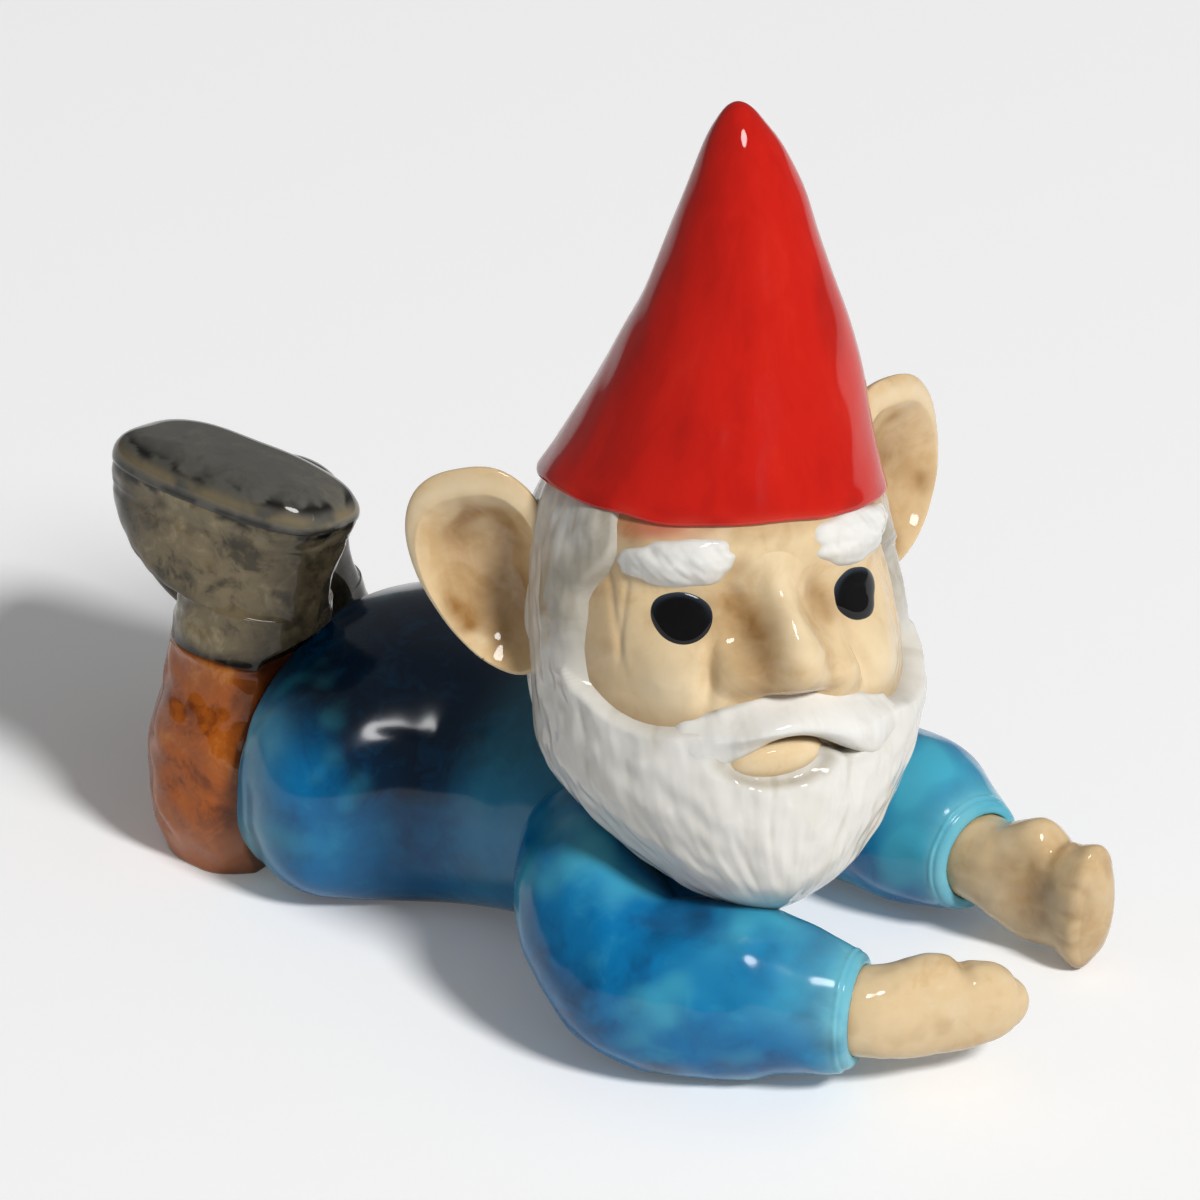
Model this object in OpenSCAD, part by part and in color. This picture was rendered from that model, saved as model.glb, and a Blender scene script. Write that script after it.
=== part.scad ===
// Glazed ceramic gnome lying on its front, propped on its elbows, with its boots in the air.
// Every piece is a separately formed lump of clay with the seat that it is luted on by.
// Millimetres. The ground is Z = 0, the figure faces -Y, and its own right side is -X.

/* [Tunic] */
// Length of the tunic from the chest to the hem
tunic_len = 24; // [20:0.5:30]
// Width of the tunic over the hips
hip_w = 24.4; // [19:0.2:25]
// Height of the tunic over the hips
hip_h = 14.4; // [12:0.2:17]
// Width of the tunic at the waist
waist_w = 17.6; // [14:0.2:20]
// Height of the tunic at the waist
waist_h = 13.6; // [11:0.2:16]
// Width of the chest
chest_w = 15.6; // [13:0.2:18]
// Height of the chest
chest_h = 13.2; // [11:0.2:14.4]
// Width of the tunic at the hem
hem_w = 21.4; // [17:0.2:24]
// Height of the tunic at the hem
hem_h = 13.4; // [11:0.2:16]

/* [Head] */
// Diameter of the head at its widest
head_d = 19.4; // [18:0.2:22]
// Depth of the head below its widest level
jaw_drop = 13.5; // [11:0.5:16]
// Height of the skull above its widest level
skull_rise = 16; // [14:0.5:19]
// Height of the head's centre above the ground
head_z = 20.2; // [19:0.2:24]
// Turn of the head to the figure's right
head_turn = 35; // [25:0.5:45]
// Tilt of the head backwards
head_tilt = 12; // [5:1:18]
// Side tilt of the head
head_roll = 3; // [-5:1:6]

/* [Hat] */
// Diameter of the hat at its rim
hat_d = 19.2; // [18.8:0.2:22]
// Height of the hat from rim to tip
hat_h = 21.2; // [17:0.2:26]
// Radius of the hat's rounded tip
hat_tip_r = 1.9; // [1:0.1:3]
// Flare of the hat's skirt beyond the straight cone
hat_flare = 0.2; // [0:0.1:1.2]
// Sideways lean of the hat
hat_lean = 8.5; // [0:0.5:10]
// Sideways bow of the hat at half its height
hat_bow = 1.1; // [0:0.1:1.5]
// Height of the hat's rim above the head's centre
hat_line = 9.6; // [8:0.2:11]

/* [Ears] */
// Height of an ear
ear_h = 11.6; // [9:0.2:14]
// Width of an ear
ear_w = 8.6; // [6:0.2:10]
// Thickness of an ear at its middle
ear_t = 2.2; // [1.6:0.1:3]
// Depth of the bowl in an ear
ear_bowl = 1.7; // [0.8:0.1:2.2]
// Angle by which the ears are swept back
ear_sweep = 32; // [15:1:45]
// Height of the ears' middle above the head's centre
ear_z = 6.0; // [4:0.2:7]

/* [Face] */
// How far the face's features slope down to their left side, in degrees
face_slope = 6; // [3:0.5:8]
// How far the face's features turn to their left on the head, in degrees
face_turn = 3; // [0:0.5:5]
// Diameter of an eye
eye_d = 3.4; // [2.4:0.1:4.2]
// Angle of each eye from the middle of the face
eye_angle = 34; // [28:1:37]
// Height of the eyes above the head's centre
eye_z = 4.5; // [3:0.1:5.2]
// Length of an eyebrow
brow_len = 7.6; // [5:0.2:8]
// Height of an eyebrow
brow_h = 2.4; // [1.6:0.1:2.8]
// Stand-off of an eyebrow from the face
brow_t = 0.9; // [0.5:0.1:1.4]
// Height of the eyebrows above the head's centre
brow_z = 7.5; // [7.1:0.1:8]
// Length of the nose from bridge to tip
nose_len = 6.0; // [4.8:0.2:6.4]
// Width of the nose at its wings
nose_w = 6.6; // [5:0.2:7.4]
// Stand-off of the nose's tip from the face
nose_t = 3.2; // [2:0.1:4]
// Width of the lower lip
lip_w = 5.2; // [3.6:0.2:6]

/* [Beard] */
// Thickness of the beard on the cheeks
beard_t = 0.9; // [0.7:0.1:1.4]
// Drop of the beard's tip below the head's centre
beard_drop = 13.0; // [12.6:0.2:14.2]
// Half width of the face left bare between the sideburns
face_half_w = 8.9; // [8:0.1:9.2]
// Stand-off of the moustache from the face
moustache_t = 1.7; // [1.2:0.1:2.4]
// Height of the moustache
moustache_h = 4.4; // [3.8:0.1:4.8]

/* [Arms] */
// Diameter of the sleeve at the upper arm
upper_arm_d = 8.6; // [7:0.2:9.6]
// Diameter of the sleeve at the elbow
elbow_d = 9.6; // [8:0.2:11]
// Diameter of the sleeve at the cuff
cuff_d = 6.4; // [5.4:0.2:7.4]
// Length of the forearm from elbow to cuff
forearm_len = 11.8; // [9:0.2:14]
// Length of a hand from cuff to fingertips
hand_len = 9.0; // [7:0.2:11]
// Height of a hand across the palm
palm_h = 6.0; // [4.8:0.2:7]
// Thickness of a hand
palm_t = 4.2; // [3:0.2:5]

/* [Legs] */
// Diameter of a trouser leg at the calf
calf_d = 11.2; // [10:0.2:12.4]
// Diameter of a trouser leg at the ankle
ankle_d = 8.6; // [7.6:0.2:9.6]
// Height of a trouser leg from knee to ankle
shin_h = 12.4; // [10:0.2:15]
// Distance from the middle of the figure to the right leg
right_leg_x = 6; // [5.4:0.1:7]
// Distance from the middle of the figure to the left knee
left_leg_x = 6.6; // [6.2:0.1:7.4]

/* [Boots] */
// Length of a boot from heel to toe
boot_len = 15.0; // [13:0.2:18]
// Width of a boot
boot_w = 7.8; // [6.4:0.2:9]
// Height of a boot from ankle to sole
boot_h = 10.6; // [9:0.2:12]
// Thickness of a sole
sole_t = 2.0; // [1.2:0.1:3]

/* [Hidden] */

// Gap left for slip where a curved piece is luted on another
lute_gap = 0.05;
// Depth by which resting forms dip under the ground before they are cut flat
sink = 0.35;
// Reach of the half spaces that cut forms flat
far = 90;
// Place of the tunic's waist line, which puts the origin under the middle of the figure
middle = [1.8, -9.13, 0];

RIGHT = -1;
LEFT = 1;

head_r = head_d / 2;
hem_y = 24.2 + (tunic_len - 24);
head_at = [-0.24 * head_d, -0.224 * head_d, head_z];
// The slanted plane on which head and beard are luted to the chest, in the head's own frame
neck_at = [0, 1.5, -0.63 * jaw_drop];
neck_slope = 45;

// Curves and lofted skins

function unit(v) = v / norm(v);
function mix(a, b, t) = a + (b - a) * t;
function bell(x, w) = exp(-pow(x / w, 2));

// A smooth curve through a list of stations, at parameter t counted in stations
function through(p, t) =
    let (i = min(floor(t), len(p) - 2), f = t - i,
         a = p[max(i - 1, 0)], b = p[i], c = p[i + 1], d = p[min(i + 2, len(p) - 1)])
    0.5 * (2 * b + (c - a) * f + (2 * a - 5 * b + 4 * c - d) * f * f + (3 * b - a - 3 * c + d) * f * f * f);

// The way the path runs at t; at its ends this is the way of the first or the last stretch
function heading(stations, t) =
    let (p = [for (s = stations) s[0]], e = 0.5, last = len(p) - 1)
    t <= 0 ? unit(p[1] - p[0]) : t >= last ? unit(p[last] - p[last - 1])
        : unit(through(p, min(t + e, last)) - through(p, max(t - e, 0)));

// One elliptical ring around a station, facing a way; lean is the direction its second axis keeps close to
function ring_facing(s, go, sides, lean, slump = 1) =
    let (side = unit(cross(go, lean)), up = cross(side, go))
    [for (k = [0 : sides - 1]) let (a = 360 * k / sides, p = sin(a) < 0 ? slump : 1)
        s[0] + side * s[1][0] * softened(cos(a), p) + up * s[1][1] * softened(sin(a), p)];

// One ring square to the path
function ring(stations, t, sides, lean, slump = 1) =
    ring_facing(through(stations, t), heading(stations, t), sides, lean, slump);

// A share between -1 and 1 pushed outwards, as soft clay spreads where it lies on its bed
function softened(x, power) = sign(x) * pow(abs(x), power);

function middle_of(points) = [for (p = points) 1] * points / len(points);

// Rings that close an end as a rounded dome of the given length
function dome(base, go, length, steps) =
    let (c = middle_of(base))
    [for (i = [1 : steps]) let (a = 86 * i / steps)
        [for (p = base) c + go * length * sin(a) + (p - c) * cos(a)]];

function reversed(list) = [for (i = [len(list) - 1 : -1 : 0]) list[i]];

// All rings of a limb, with a dome of the given length at each end, or a flat cut where it is 0
function limb_rings(stations, steps, sides, lean, start_dome = 0, end_dome = 0, slump = 1) =
    let (last = len(stations) - 1,
         body = [for (i = [0 : steps]) ring(stations, i * last / steps, sides, lean, slump)],
         head = start_dome > 0 ? reversed(dome(body[0], -heading(stations, 0), start_dome, 3)) : [],
         tail = end_dome > 0 ? dome(body[steps], heading(stations, last), end_dome, 3) : [])
    concat(head, body, tail);

// A closed skin over rings of equal counts, with flat ends
module skin(rings) {
    n = len(rings[0]);
    m = len(rings);
    polyhedron(
        points = [for (r = rings) each r],
        faces = concat(
            [[for (k = [n - 1 : -1 : 0]) k]],
            [[for (k = [0 : n - 1]) (m - 1) * n + k]],
            [for (i = [0 : m - 2], k = [0 : n - 1]) let (a = i * n + k, b = i * n + (k + 1) % n)
                each [[a, b, b + n], [a, b + n, a + n]]]));
}

module limb(stations, steps, sides, lean = [0, 0, 1], start_dome = 0, end_dome = 0, slump = 1)
    skin(limb_rings(stations, steps, sides, lean, start_dome, end_dome, slump));

// Frames and cutting bodies

module figure() translate(middle) children();

module at_head()
    figure() translate(head_at) rotate([0, 0, -head_turn]) rotate([-head_tilt, 0, 0])
        rotate([0, -head_roll, 0]) children();

module below_ground() translate([-far, -far, -far]) cube([2 * far, 2 * far, far]);

// The half space on the head's side of the neck plane
module above_neck(gap = 0)
    at_head() translate(neck_at) rotate([neck_slope, 0, 0]) translate([-far, -far, gap])
        cube([2 * far, 2 * far, far]);

module below_neck(gap = 0)
    at_head() translate(neck_at) rotate([neck_slope, 0, 0]) translate([-far, -far, -far - gap])
        cube([2 * far, 2 * far, far]);

// Head

// Radius of the egg-shaped head at a height above its widest level
function head_radius(z) = head_r * sqrt(max(0, 1 - pow(z / (z < 0 ? jaw_drop : skull_rise), 2)));

// The head as a turned egg, grown all over by a gap
module egg(grow = 0) {
    steps = 22;
    low = -0.96 * jaw_drop;
    high = 0.9 * skull_rise;
    rotate_extrude($fn = 180)
        polygon(concat([[0, low - grow]],
            [for (i = [0 : steps]) let (z = mix(low, high, i / steps)) [head_radius(z) + grow, z]],
            [[head_radius(high) + grow, high + grow], [0, high + grow]]));
}

module head() color("wheat")
    difference() {
        at_head() egg();
        below_neck();
    }

// Unit vectors out of the face and along it, at an angle from its middle
function face_out(angle) = [sin(angle + face_turn), -cos(angle + face_turn), 0];
function face_along(angle) = [cos(angle + face_turn), sin(angle + face_turn), 0];

// A point on the sloping face at an angle from its middle, at a height and a stand-off
function on_face(angle, z, out = 0) =
    let (h = z - head_r * tan(face_slope) * sin(angle + face_turn))
    face_out(angle) * (head_radius(h) + out) + [0, 0, h];

// Hat

// Half width of the hat at a share of its height: a straight cone with a flared skirt
function hat_radius(share) = mix(hat_d / 2 - hat_flare, hat_tip_r, share) + hat_flare * pow(1 - share, 6);

// Rings of the hat: a cone that bows sideways and closes in a rounded tip
function hat_rings() =
    let (sides = 44, steps = 14, cone_h = hat_h - hat_tip_r,
         cone = [for (i = [0 : steps]) let (s = i / steps) [hat_radius(s), s * cone_h]],
         tip = [for (a = [30, 55, 76]) [hat_tip_r * cos(a), cone_h + hat_tip_r * (sin(a) - 0.1)]])
    [for (q = concat(cone, tip)) let (off = hat_bow * sin(180 * q[1] / hat_h))
        [for (k = [0 : sides - 1]) let (a = -360 * k / sides) [off + q[0] * cos(a), q[0] * sin(a), q[1]]]];

module hat_form() skin(hat_rings());

module at_hat()
    figure() translate(head_at) rotate([0, 0, -head_turn]) rotate([-head_tilt, 0, 0])
        translate([0, 0, hat_line]) rotate([0, hat_lean, 0]) children();

// The room that the hat's skirt takes up, which the hair and the ears keep clear of
module hat_room()
    at_hat() translate([0, 0, -lute_gap]) cylinder(d = hat_d + 2 * lute_gap, h = hat_h / 2, $fn = 72);

module hat() color("firebrick")
    difference() {
        at_hat() hat_form();
        at_head() egg(lute_gap);
    }

// Ears

// Rings of a leaf-shaped ear in its own plane: outward is +X, up is +Y and the bowl opens along +Z
function ear_rings(side) =
    let (sides = 24, steps = 5)
    [for (layer = [0 : 2 * steps])
        let (back = layer <= steps,
             rho = back ? sin(4 + 86 * layer / steps) : sin(4 + 86 * (2 * steps - layer) / steps),
             depth = back ? -ear_t * sqrt(max(0, 1 - rho * rho)) : -ear_bowl * pow(1 - rho * rho, 1.4) + 0.25)
        [for (k = [0 : sides - 1])
            let (a = 360 * k / sides, q = ear_h / 2 * sin(a),
                 taper = 1 - 0.24 * (1 - sin(a)) / 2)
            [side * rho * (ear_w / 2 * taper * cos(a) + 0.22 * q), q * rho, layer == steps ? 0 : depth]]];

module at_ear(side)
    at_head() translate([side * (head_radius(ear_z) + 0.36 * ear_w) * cos(10), 0.32 * ear_w, ear_z])
        rotate([0, 0, side * ear_sweep]) children();

// The slot in beard and hair through which an ear's root reaches the head
module ear_room(side)
    at_ear(side) translate([-0.75 * ear_w, -0.25 - lute_gap, -0.5 * ear_h - lute_gap])
        cube([1.5 * ear_w, ear_t + 0.25 + 2 * lute_gap, ear_h + 2 * lute_gap]);

module ear(side) color("burlywood")
    difference() {
        at_ear(side) rotate([90, 0, 0])
            skin(side < 0 ? ear_rings(side) : [for (r = ear_rings(side)) reversed(r)]);
        at_head() egg(lute_gap);
        hat_room();
    }

module right_ear() ear(RIGHT);
module left_ear() ear(LEFT);

// Face

// Stand-off of an eye's thick drop of black glaze
eye_proud = 0.45;

// Rings of a drop that lies on the face at an angle: an oval dome with its foot inside the egg
function eye_rings(angle) =
    let (sides = 24, c = on_face(angle, eye_z, -0.6), out = face_out(angle), along = face_along(angle))
    [for (a = [-30, 0, 30, 55, 76]) let (rho = a < 0 ? 1 : cos(a))
        [for (k = [0 : sides - 1]) let (b = -360 * k / sides)
            c + out * (0.6 + eye_proud) * (a < 0 ? -0.5 : sin(a)) + along * eye_d / 2 * rho * cos(b)
                + [0, 0, 0.45 * eye_d * rho * sin(b)]]];

module eye(side) color("black")
    difference() {
        at_head() skin(eye_rings(side * eye_angle));
        at_head() egg(lute_gap);
    }

module right_eye() eye(RIGHT);
module left_eye() eye(LEFT);

// A bar that follows the face between two angles, thick in the middle and thin at its ends
function face_bar(from, to, z_of, half_h, out, steps, sides) =
    [for (i = [0 : steps])
        let (t = i / steps, w = sqrt(max(0.03, 1 - pow(2 * t - 1, 2))), a = mix(from, to, t),
             c = on_face(a, z_of[0] + z_of[1] * pow(2 * t - 1, 2) + z_of[2] * (2 * t - 1)))
        [for (k = [0 : sides - 1]) let (b = 360 * k / sides)
            c + face_out(a) * out * w * cos(b) + [0, 0, half_h * w * sin(b)]]];

brow_tilt = 0.3;

module eyebrow(side) color("white")
    difference() {
        at_head() skin(face_bar(
            side * eye_angle - brow_len / head_r * 28, side * eye_angle + brow_len / head_r * 28,
            [brow_z, 0, -side * brow_tilt], brow_h / 2, brow_t, 10, 12));
        at_head() egg(lute_gap);
    }

module right_eyebrow() eyebrow(RIGHT);
module left_eyebrow() eyebrow(LEFT);

nose_tip_z = 2.5;

module nose() color("burlywood") {
    tip = on_face(0, nose_tip_z, nose_t - nose_w * 0.3);
    difference() {
        at_head() limb([
            [on_face(0, nose_tip_z + nose_len, -0.6), [0.16 * nose_w, 0.9]],
            [on_face(0, nose_tip_z + 0.62 * nose_len, 0.2), [0.2 * nose_w, 1.1]],
            [on_face(0, nose_tip_z + 0.3 * nose_len, 0.55 * nose_t - 0.6), [0.32 * nose_w, 1.6]],
            [tip, [0.48 * nose_w, 0.3 * nose_w]],
            [tip + [0, 0.5, -0.9], [0.44 * nose_w, 0.24 * nose_w]]],
            12, 16, [0, -1, 0], 0.4, 0.9);
        at_head() egg(lute_gap);
    }
}

// Beard, moustache and hair

window_low = -1.2;
window_corner = 2.6;
// Lower edge of the moustache in the middle, and how much deeper its drooping ends reach
mouth_z = -2.0;
mouth_droop = 2.0;

// Lower edge of the bare face: flat between rounded corners
function window_edge(x) =
    let (q = max(0, abs(x) - face_half_w + window_corner))
    window_low + window_corner - sqrt(max(0, pow(window_corner, 2) - q * q));

// Lower edge of the moustache: an arch over the lip that runs out into the bare face's edge
function mouth_edge(x) =
    let (share = min(1, max(0, (abs(x) - 4.6) / 2.6)))
    mix(mouth_z - mouth_droop * (1 - bell(x + 0.5, 3)), window_low, share * share * (3 - 2 * share));

// Room of the bare face and the moustache between the sideburns, which runs forwards from the head
module face_window(shrink = 0)
    at_head() rotate([0, 0, face_turn])
        multmatrix([[1, 0, 0, 0], [0, 1, 0, 0], [-tan(face_slope), 0, 1, 0]])
        rotate([90, 0, 0]) linear_extrude(height = far)
            polygon(concat(
                [for (i = [0 : 40]) let (x = mix(-face_half_w, face_half_w, i / 40))
                    [x * (1 - shrink / face_half_w), min(window_edge(x), mouth_edge(x)) + shrink]],
                [[face_half_w - shrink, far], [-face_half_w + shrink, far]]));

// Where beard and nape hair meet, behind the head's middle
beard_back = 1.9;
// Gap between the beard and the upper arm beside it
beard_clear = 0.25;
// Swing of the beard's tip to the figure's right
beard_swing = -0.7;
lip_z = -3.5;
// Shift of the mouth to the figure's right
lip_turn = -9;
lip_h = 2.2;

// One level of the beard that follows the egg at a stand-off
function beard_level(z, share) =
    let (r = head_radius(z) + share * beard_t) [z, 0, r, r];

// Outer form of the beard: height, forward shift, half width and half depth of each level
beard_levels = [
    [-beard_drop, 5.0, 0.8, 0.9],
    [-0.93 * beard_drop, 4.2, 3.2, 3.6],
    [-0.8 * beard_drop, 2.5, 5.9, 7.0],
    [-0.56 * beard_drop, 0.9, 8.9, 9.6],
    [-0.28 * beard_drop, 0.2, head_radius(-4) + 1.5 * beard_t, head_radius(-4) + 1.3 * beard_t],
    beard_level(0, 1),
    beard_level(0.5 * hat_line, 0.9),
    beard_level(hat_line, 0.7),
    beard_level(hat_line + 2, 0.7)];

// How far a level of the beard swings sideways, most at the tip
function swing_at(z) = beard_swing * bell(z + beard_drop, 5);

module beard_form() {
    steps = 20;
    sides = 36;
    skin([for (i = [0 : steps])
        let (s = through(beard_levels, i * (len(beard_levels) - 1) / steps))
        [for (k = [0 : sides - 1]) let (a = -360 * k / sides)
            [s[2] * cos(a) + swing_at(s[0]), -s[1] + s[3] * sin(a), s[0]]]]);
}

// The room of the lower lip between moustache and beard
module lip_room()
    at_head() rotate([0, 0, lip_turn + face_turn]) translate([0, 0, on_face(lip_turn, lip_z)[2]])
        rotate([0, face_slope, 0]) rotate([90, 0, 0]) scale([1, lip_h / lip_w, 1])
        cylinder(d = lip_w + 2 * lute_gap, h = far, $fn = 40);

module beard() color("white")
    difference() {
        at_head() beard_form();
        at_head() egg(lute_gap);
        at_head() translate([-far, beard_back, -far]) cube([2 * far, far, 2 * far]);
        face_window();
        below_neck();
        forearm_room();
        arm_room(RIGHT, beard_clear);
        ear_room(RIGHT);
        ear_room(LEFT);
        at_hat() translate([-far, -far, -lute_gap]) cube([2 * far, 2 * far, far]);
        lip_room();
    }

module moustache() color("white")
    difference() {
        intersection() {
            at_head() skin(face_bar(-57, 57, [window_low - 0.5, -2.0, 0], moustache_h / 2,
                moustache_t, 20, 16));
            face_window(lute_gap);
        }
        at_head() egg(lute_gap);
        lip_room();
    }

module lower_lip() color("burlywood")
    difference() {
        at_head() skin(face_bar(lip_turn - lip_w / head_r * 28, lip_turn + lip_w / head_r * 28,
            [lip_z, 0, 0], lip_h / 2 - 0.1, 1.6, 8, 12));
        at_head() egg(lute_gap);
    }

module nape_hair() color("white")
    difference() {
        at_head() rotate_extrude($fn = 90)
            polygon(concat(
                [for (i = [0 : 10]) let (z = mix(-0.7 * jaw_drop, hat_line + 2, i / 10))
                    [head_radius(z) + lute_gap, z]],
                [for (i = [10 : -1 : 0]) let (z = mix(-0.7 * jaw_drop, hat_line + 2, i / 10))
                    [head_radius(z) + beard_t * (0.6 + 0.5 * sin(18 * i)), z]]));
        at_head() translate([-far, beard_back + lute_gap - far, -far]) cube([2 * far, far, 2 * far]);
        ear_room(RIGHT);
        ear_room(LEFT);
        arm_room(RIGHT, beard_clear);
        hat_room();
        below_neck();
    }

// Tunic

shoulder_at = [
    [-0.55 * chest_w, 0.09 * chest_w, 0.576 * chest_h],
    [0.423 * chest_w, 0.013 * chest_w, 0.636 * chest_h]];
// How far the hips lie to the figure's right of the chest
hip_shift = 0.6;

module tunic() color("steelblue") {
    difference() {
        figure() limb([
            [[-4.0, -7.2, 8.2], [0.2 * chest_w, 0.24 * chest_h]],
            [[-3.3, -4.4, 8.6], [0.37 * chest_w, 0.42 * chest_h]],
            [[-1.6, 0.8, 0.5 * chest_h + 1.7], [chest_w / 2, chest_h / 2]],
            [[-0.3, hem_y - 17, 0.5 * waist_h + 0.4], [0.48 * waist_w, 0.49 * waist_h]],
            [[0, hem_y - 11, waist_h / 2 - sink], [waist_w / 2, waist_h / 2]],
            [[-hip_shift, hem_y - 5, hip_h / 2 - sink], [hip_w / 2, hip_h / 2]],
            [[-hip_shift, hem_y - 1.2, hem_h / 2 - sink + 0.2], [hem_w / 2 + 0.2, hem_h / 2 + 0.1]],
            [[-hip_shift, hem_y, hem_h / 2 - sink + 0.2], [hem_w / 2 - 0.6, hem_h / 2 - 0.5]]],
            20, 32, start_dome = 1.6, slump = 0.5);
        below_ground();
        above_neck();
        figure() translate([-far, hem_y, -far]) cube([2 * far, far, 2 * far]);
        arm_room(RIGHT);
        arm_room(LEFT);
    }
}

// Arms

// Sleeve stations from shoulder to cuff; the elbow and the cuff rest on the ground
function sleeve(side) =
    let (right = side == RIGHT, s = shoulder_at[right ? 0 : 1],
         out = upper_arm_d * (right ? [-0.63, -0.81] : [0.44, -0.4]),
         elbow = [s[0] + out[0], s[1] + out[1], elbow_d / 2],
         go = right ? unit([3.6, -11, 0]) : unit([-2.2, -9.6, 0]),
         reach = right ? forearm_len : 0.8 * forearm_len,
         cuff = elbow + go * reach + [0, 0, 0.66 * cuff_d - elbow_d / 2 + 0.4])
    [[s, [0.495 * upper_arm_d, 0.495 * upper_arm_d]],
     [mix(s, elbow, 0.5) + [side * 1.1, 0.8, 0.7], [upper_arm_d / 2, upper_arm_d / 2]],
     [elbow, [elbow_d / 2, elbow_d / 2]],
     [mix(elbow, cuff, 0.5) + [0, 0, 0.2], [0.49 * elbow_d, 0.5 * elbow_d]],
     [mix(elbow, cuff, 0.86), [0.58 * cuff_d, 0.58 * cuff_d]],
     [cuff, [cuff_d / 2, cuff_d / 2]]];

module sleeve_form(side) limb(sleeve(side), 18, 20, [0, 0.3, 1], 0.495 * upper_arm_d, 0);

// The room that an upper arm takes up in the tunic's shoulder: a ball a little wider than its bore
module arm_room(side, gap = lute_gap) {
    s = sleeve(side)[0][0];
    go = sleeve(side)[1][0] - s;
    figure() translate(s) {
        sphere(d = 1.01 * upper_arm_d + 2 * gap, $fn = 48);
        rotate([0, acos(go[2] / norm(go)), atan2(go[1], go[0])])
            cylinder(d = upper_arm_d + 2 * gap, h = far, $fn = 48);
    }
}

// The room that the right forearm takes up under the beard
module forearm_room() {
    from = sleeve(RIGHT)[2][0];
    go = sleeve(RIGHT)[5][0] - from;
    figure() translate(from) rotate([0, acos(go[2] / norm(go)), atan2(go[1], go[0])])
        translate([0, 0, -0.3 * elbow_d])
        cylinder(d = 1.08 * elbow_d + 2 * lute_gap, h = far, $fn = 48);
}

module arm(side) color("dodgerblue")
    difference() {
        figure() sleeve_form(side);
        below_ground();
        at_head() egg(lute_gap);
    }

module right_sleeve() arm(RIGHT);
module left_sleeve() arm(LEFT);

// Hands

// A mitten hand swept from the cuff, with a thumb raised on its upper side
function hand_rings(side) =
    let (sides = 18, steps = 12, sl = sleeve(side), right = side == RIGHT, cuff = sl[5][0],
         palm = right ? unit([8.0, -7.0, -0.8]) : unit([-0.3, -8.4, -0.9]),
         tip = cuff + (right ? 1 : 0.92) * palm * hand_len,
         half_h = (right ? 0.46 : 0.6) * palm_h, half_t = palm_t / 2, wrist = heading(sl, 5),
         st = [[cuff, [0.4 * cuff_d, 0.4 * cuff_d]],
               [cuff + unit(wrist + palm) * 0.2 * hand_len, [0.5 * (half_t + 0.4 * cuff_d), 0.42 * cuff_d]],
               [mix(cuff, tip, 0.52), [half_t, half_h]],
               [mix(cuff, tip, 0.78), [0.9 * half_t, 0.9 * half_h]],
               [tip, [0.62 * half_t, (right ? 0.55 : 0.74) * half_h]]])
    [for (i = [0 : steps])
        let (t = i / steps, go = unit(mix(wrist, palm, min(1, 1.8 * t))),
             base = ring_facing(through(st, 4 * t), go, sides, [0, 0, 1]), c = middle_of(base))
        [for (k = [0 : sides - 1])
            let (a = 360 * k / sides, thumb = 0.36 * bell(t - 0.46, 0.17) * bell(a - 90, 38))
            c + (base[k] - c) * (1 + thumb)]];

module hand(side) color("tan")
    difference() {
        figure() skin(let (r = hand_rings(side), last = len(r) - 1)
            concat(r, dome(r[last], unit(middle_of(r[last]) - middle_of(r[last - 1])), 0.8, 2)));
        below_ground();
    }

module right_hand() hand(RIGHT);
module left_hand() hand(LEFT);

// Legs

// Where each leg's ankle is
right_ankle = [-0.95 * right_leg_x, hem_y + 0.25 * calf_d, shin_h];
left_ankle = [0.6 * left_leg_x, hem_y + 0.55 * calf_d, 0.58 * shin_h];

// Pitch, roll and turn of each boot
boot_turns = [[4, 0, 0], [-15, -10, -6]];

function boot_turns_of(side) = boot_turns[side == RIGHT ? 0 : 1];

// The way a boot's shaft runs on from its trouser leg
function shaft_way(side) =
    let (q = boot_turns_of(side), x = cos(q[0]) * sin(q[1]), y = -sin(q[0]))
    [x * cos(q[2]) - y * sin(q[2]), x * sin(q[2]) + y * cos(q[2]), cos(q[0]) * cos(q[1])];

// Rings of a trouser leg: the first lies on the ground and the last faces up the boot's shaft
function leg_rings(side) =
    let (right = side == RIGHT, ankle = right ? right_ankle : left_ankle, way = shaft_way(side), steps = 10,
         knee = right ? [-right_leg_x, hem_y + 0.25 * calf_d, 0] : [left_leg_x, hem_y + 0.14 * calf_d, 0],
         neck_r = 0.3 * ankle_d + 0.19 * calf_d,
         st = [[knee + [0, 0, -sink], [0.43 * calf_d, 0.40 * calf_d]],
               [mix(knee, ankle, 0.27), [0.5 * calf_d, 0.5 * calf_d]],
               [mix(knee, ankle, 0.58), [0.49 * calf_d, 0.48 * calf_d]],
               [mix(knee, ankle, 0.83), [neck_r, neck_r]],
               [ankle, [ankle_d / 2, ankle_d / 2]]])
    [for (i = [0 : steps]) let (t = i / steps)
        ring_facing(through(st, 4 * t), unit(mix([0, 0, 1], way, t)), 22, [0, 1, 0])];

module trouser_leg(side) color("peru")
    difference() {
        figure() skin(leg_rings(side));
        below_ground();
        figure() translate([-far, hem_y - far, -far]) cube([2 * far, far, 2 * far]);
    }

module right_trouser_leg() trouser_leg(RIGHT);
module left_trouser_leg() trouser_leg(LEFT);

// Boots

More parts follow.
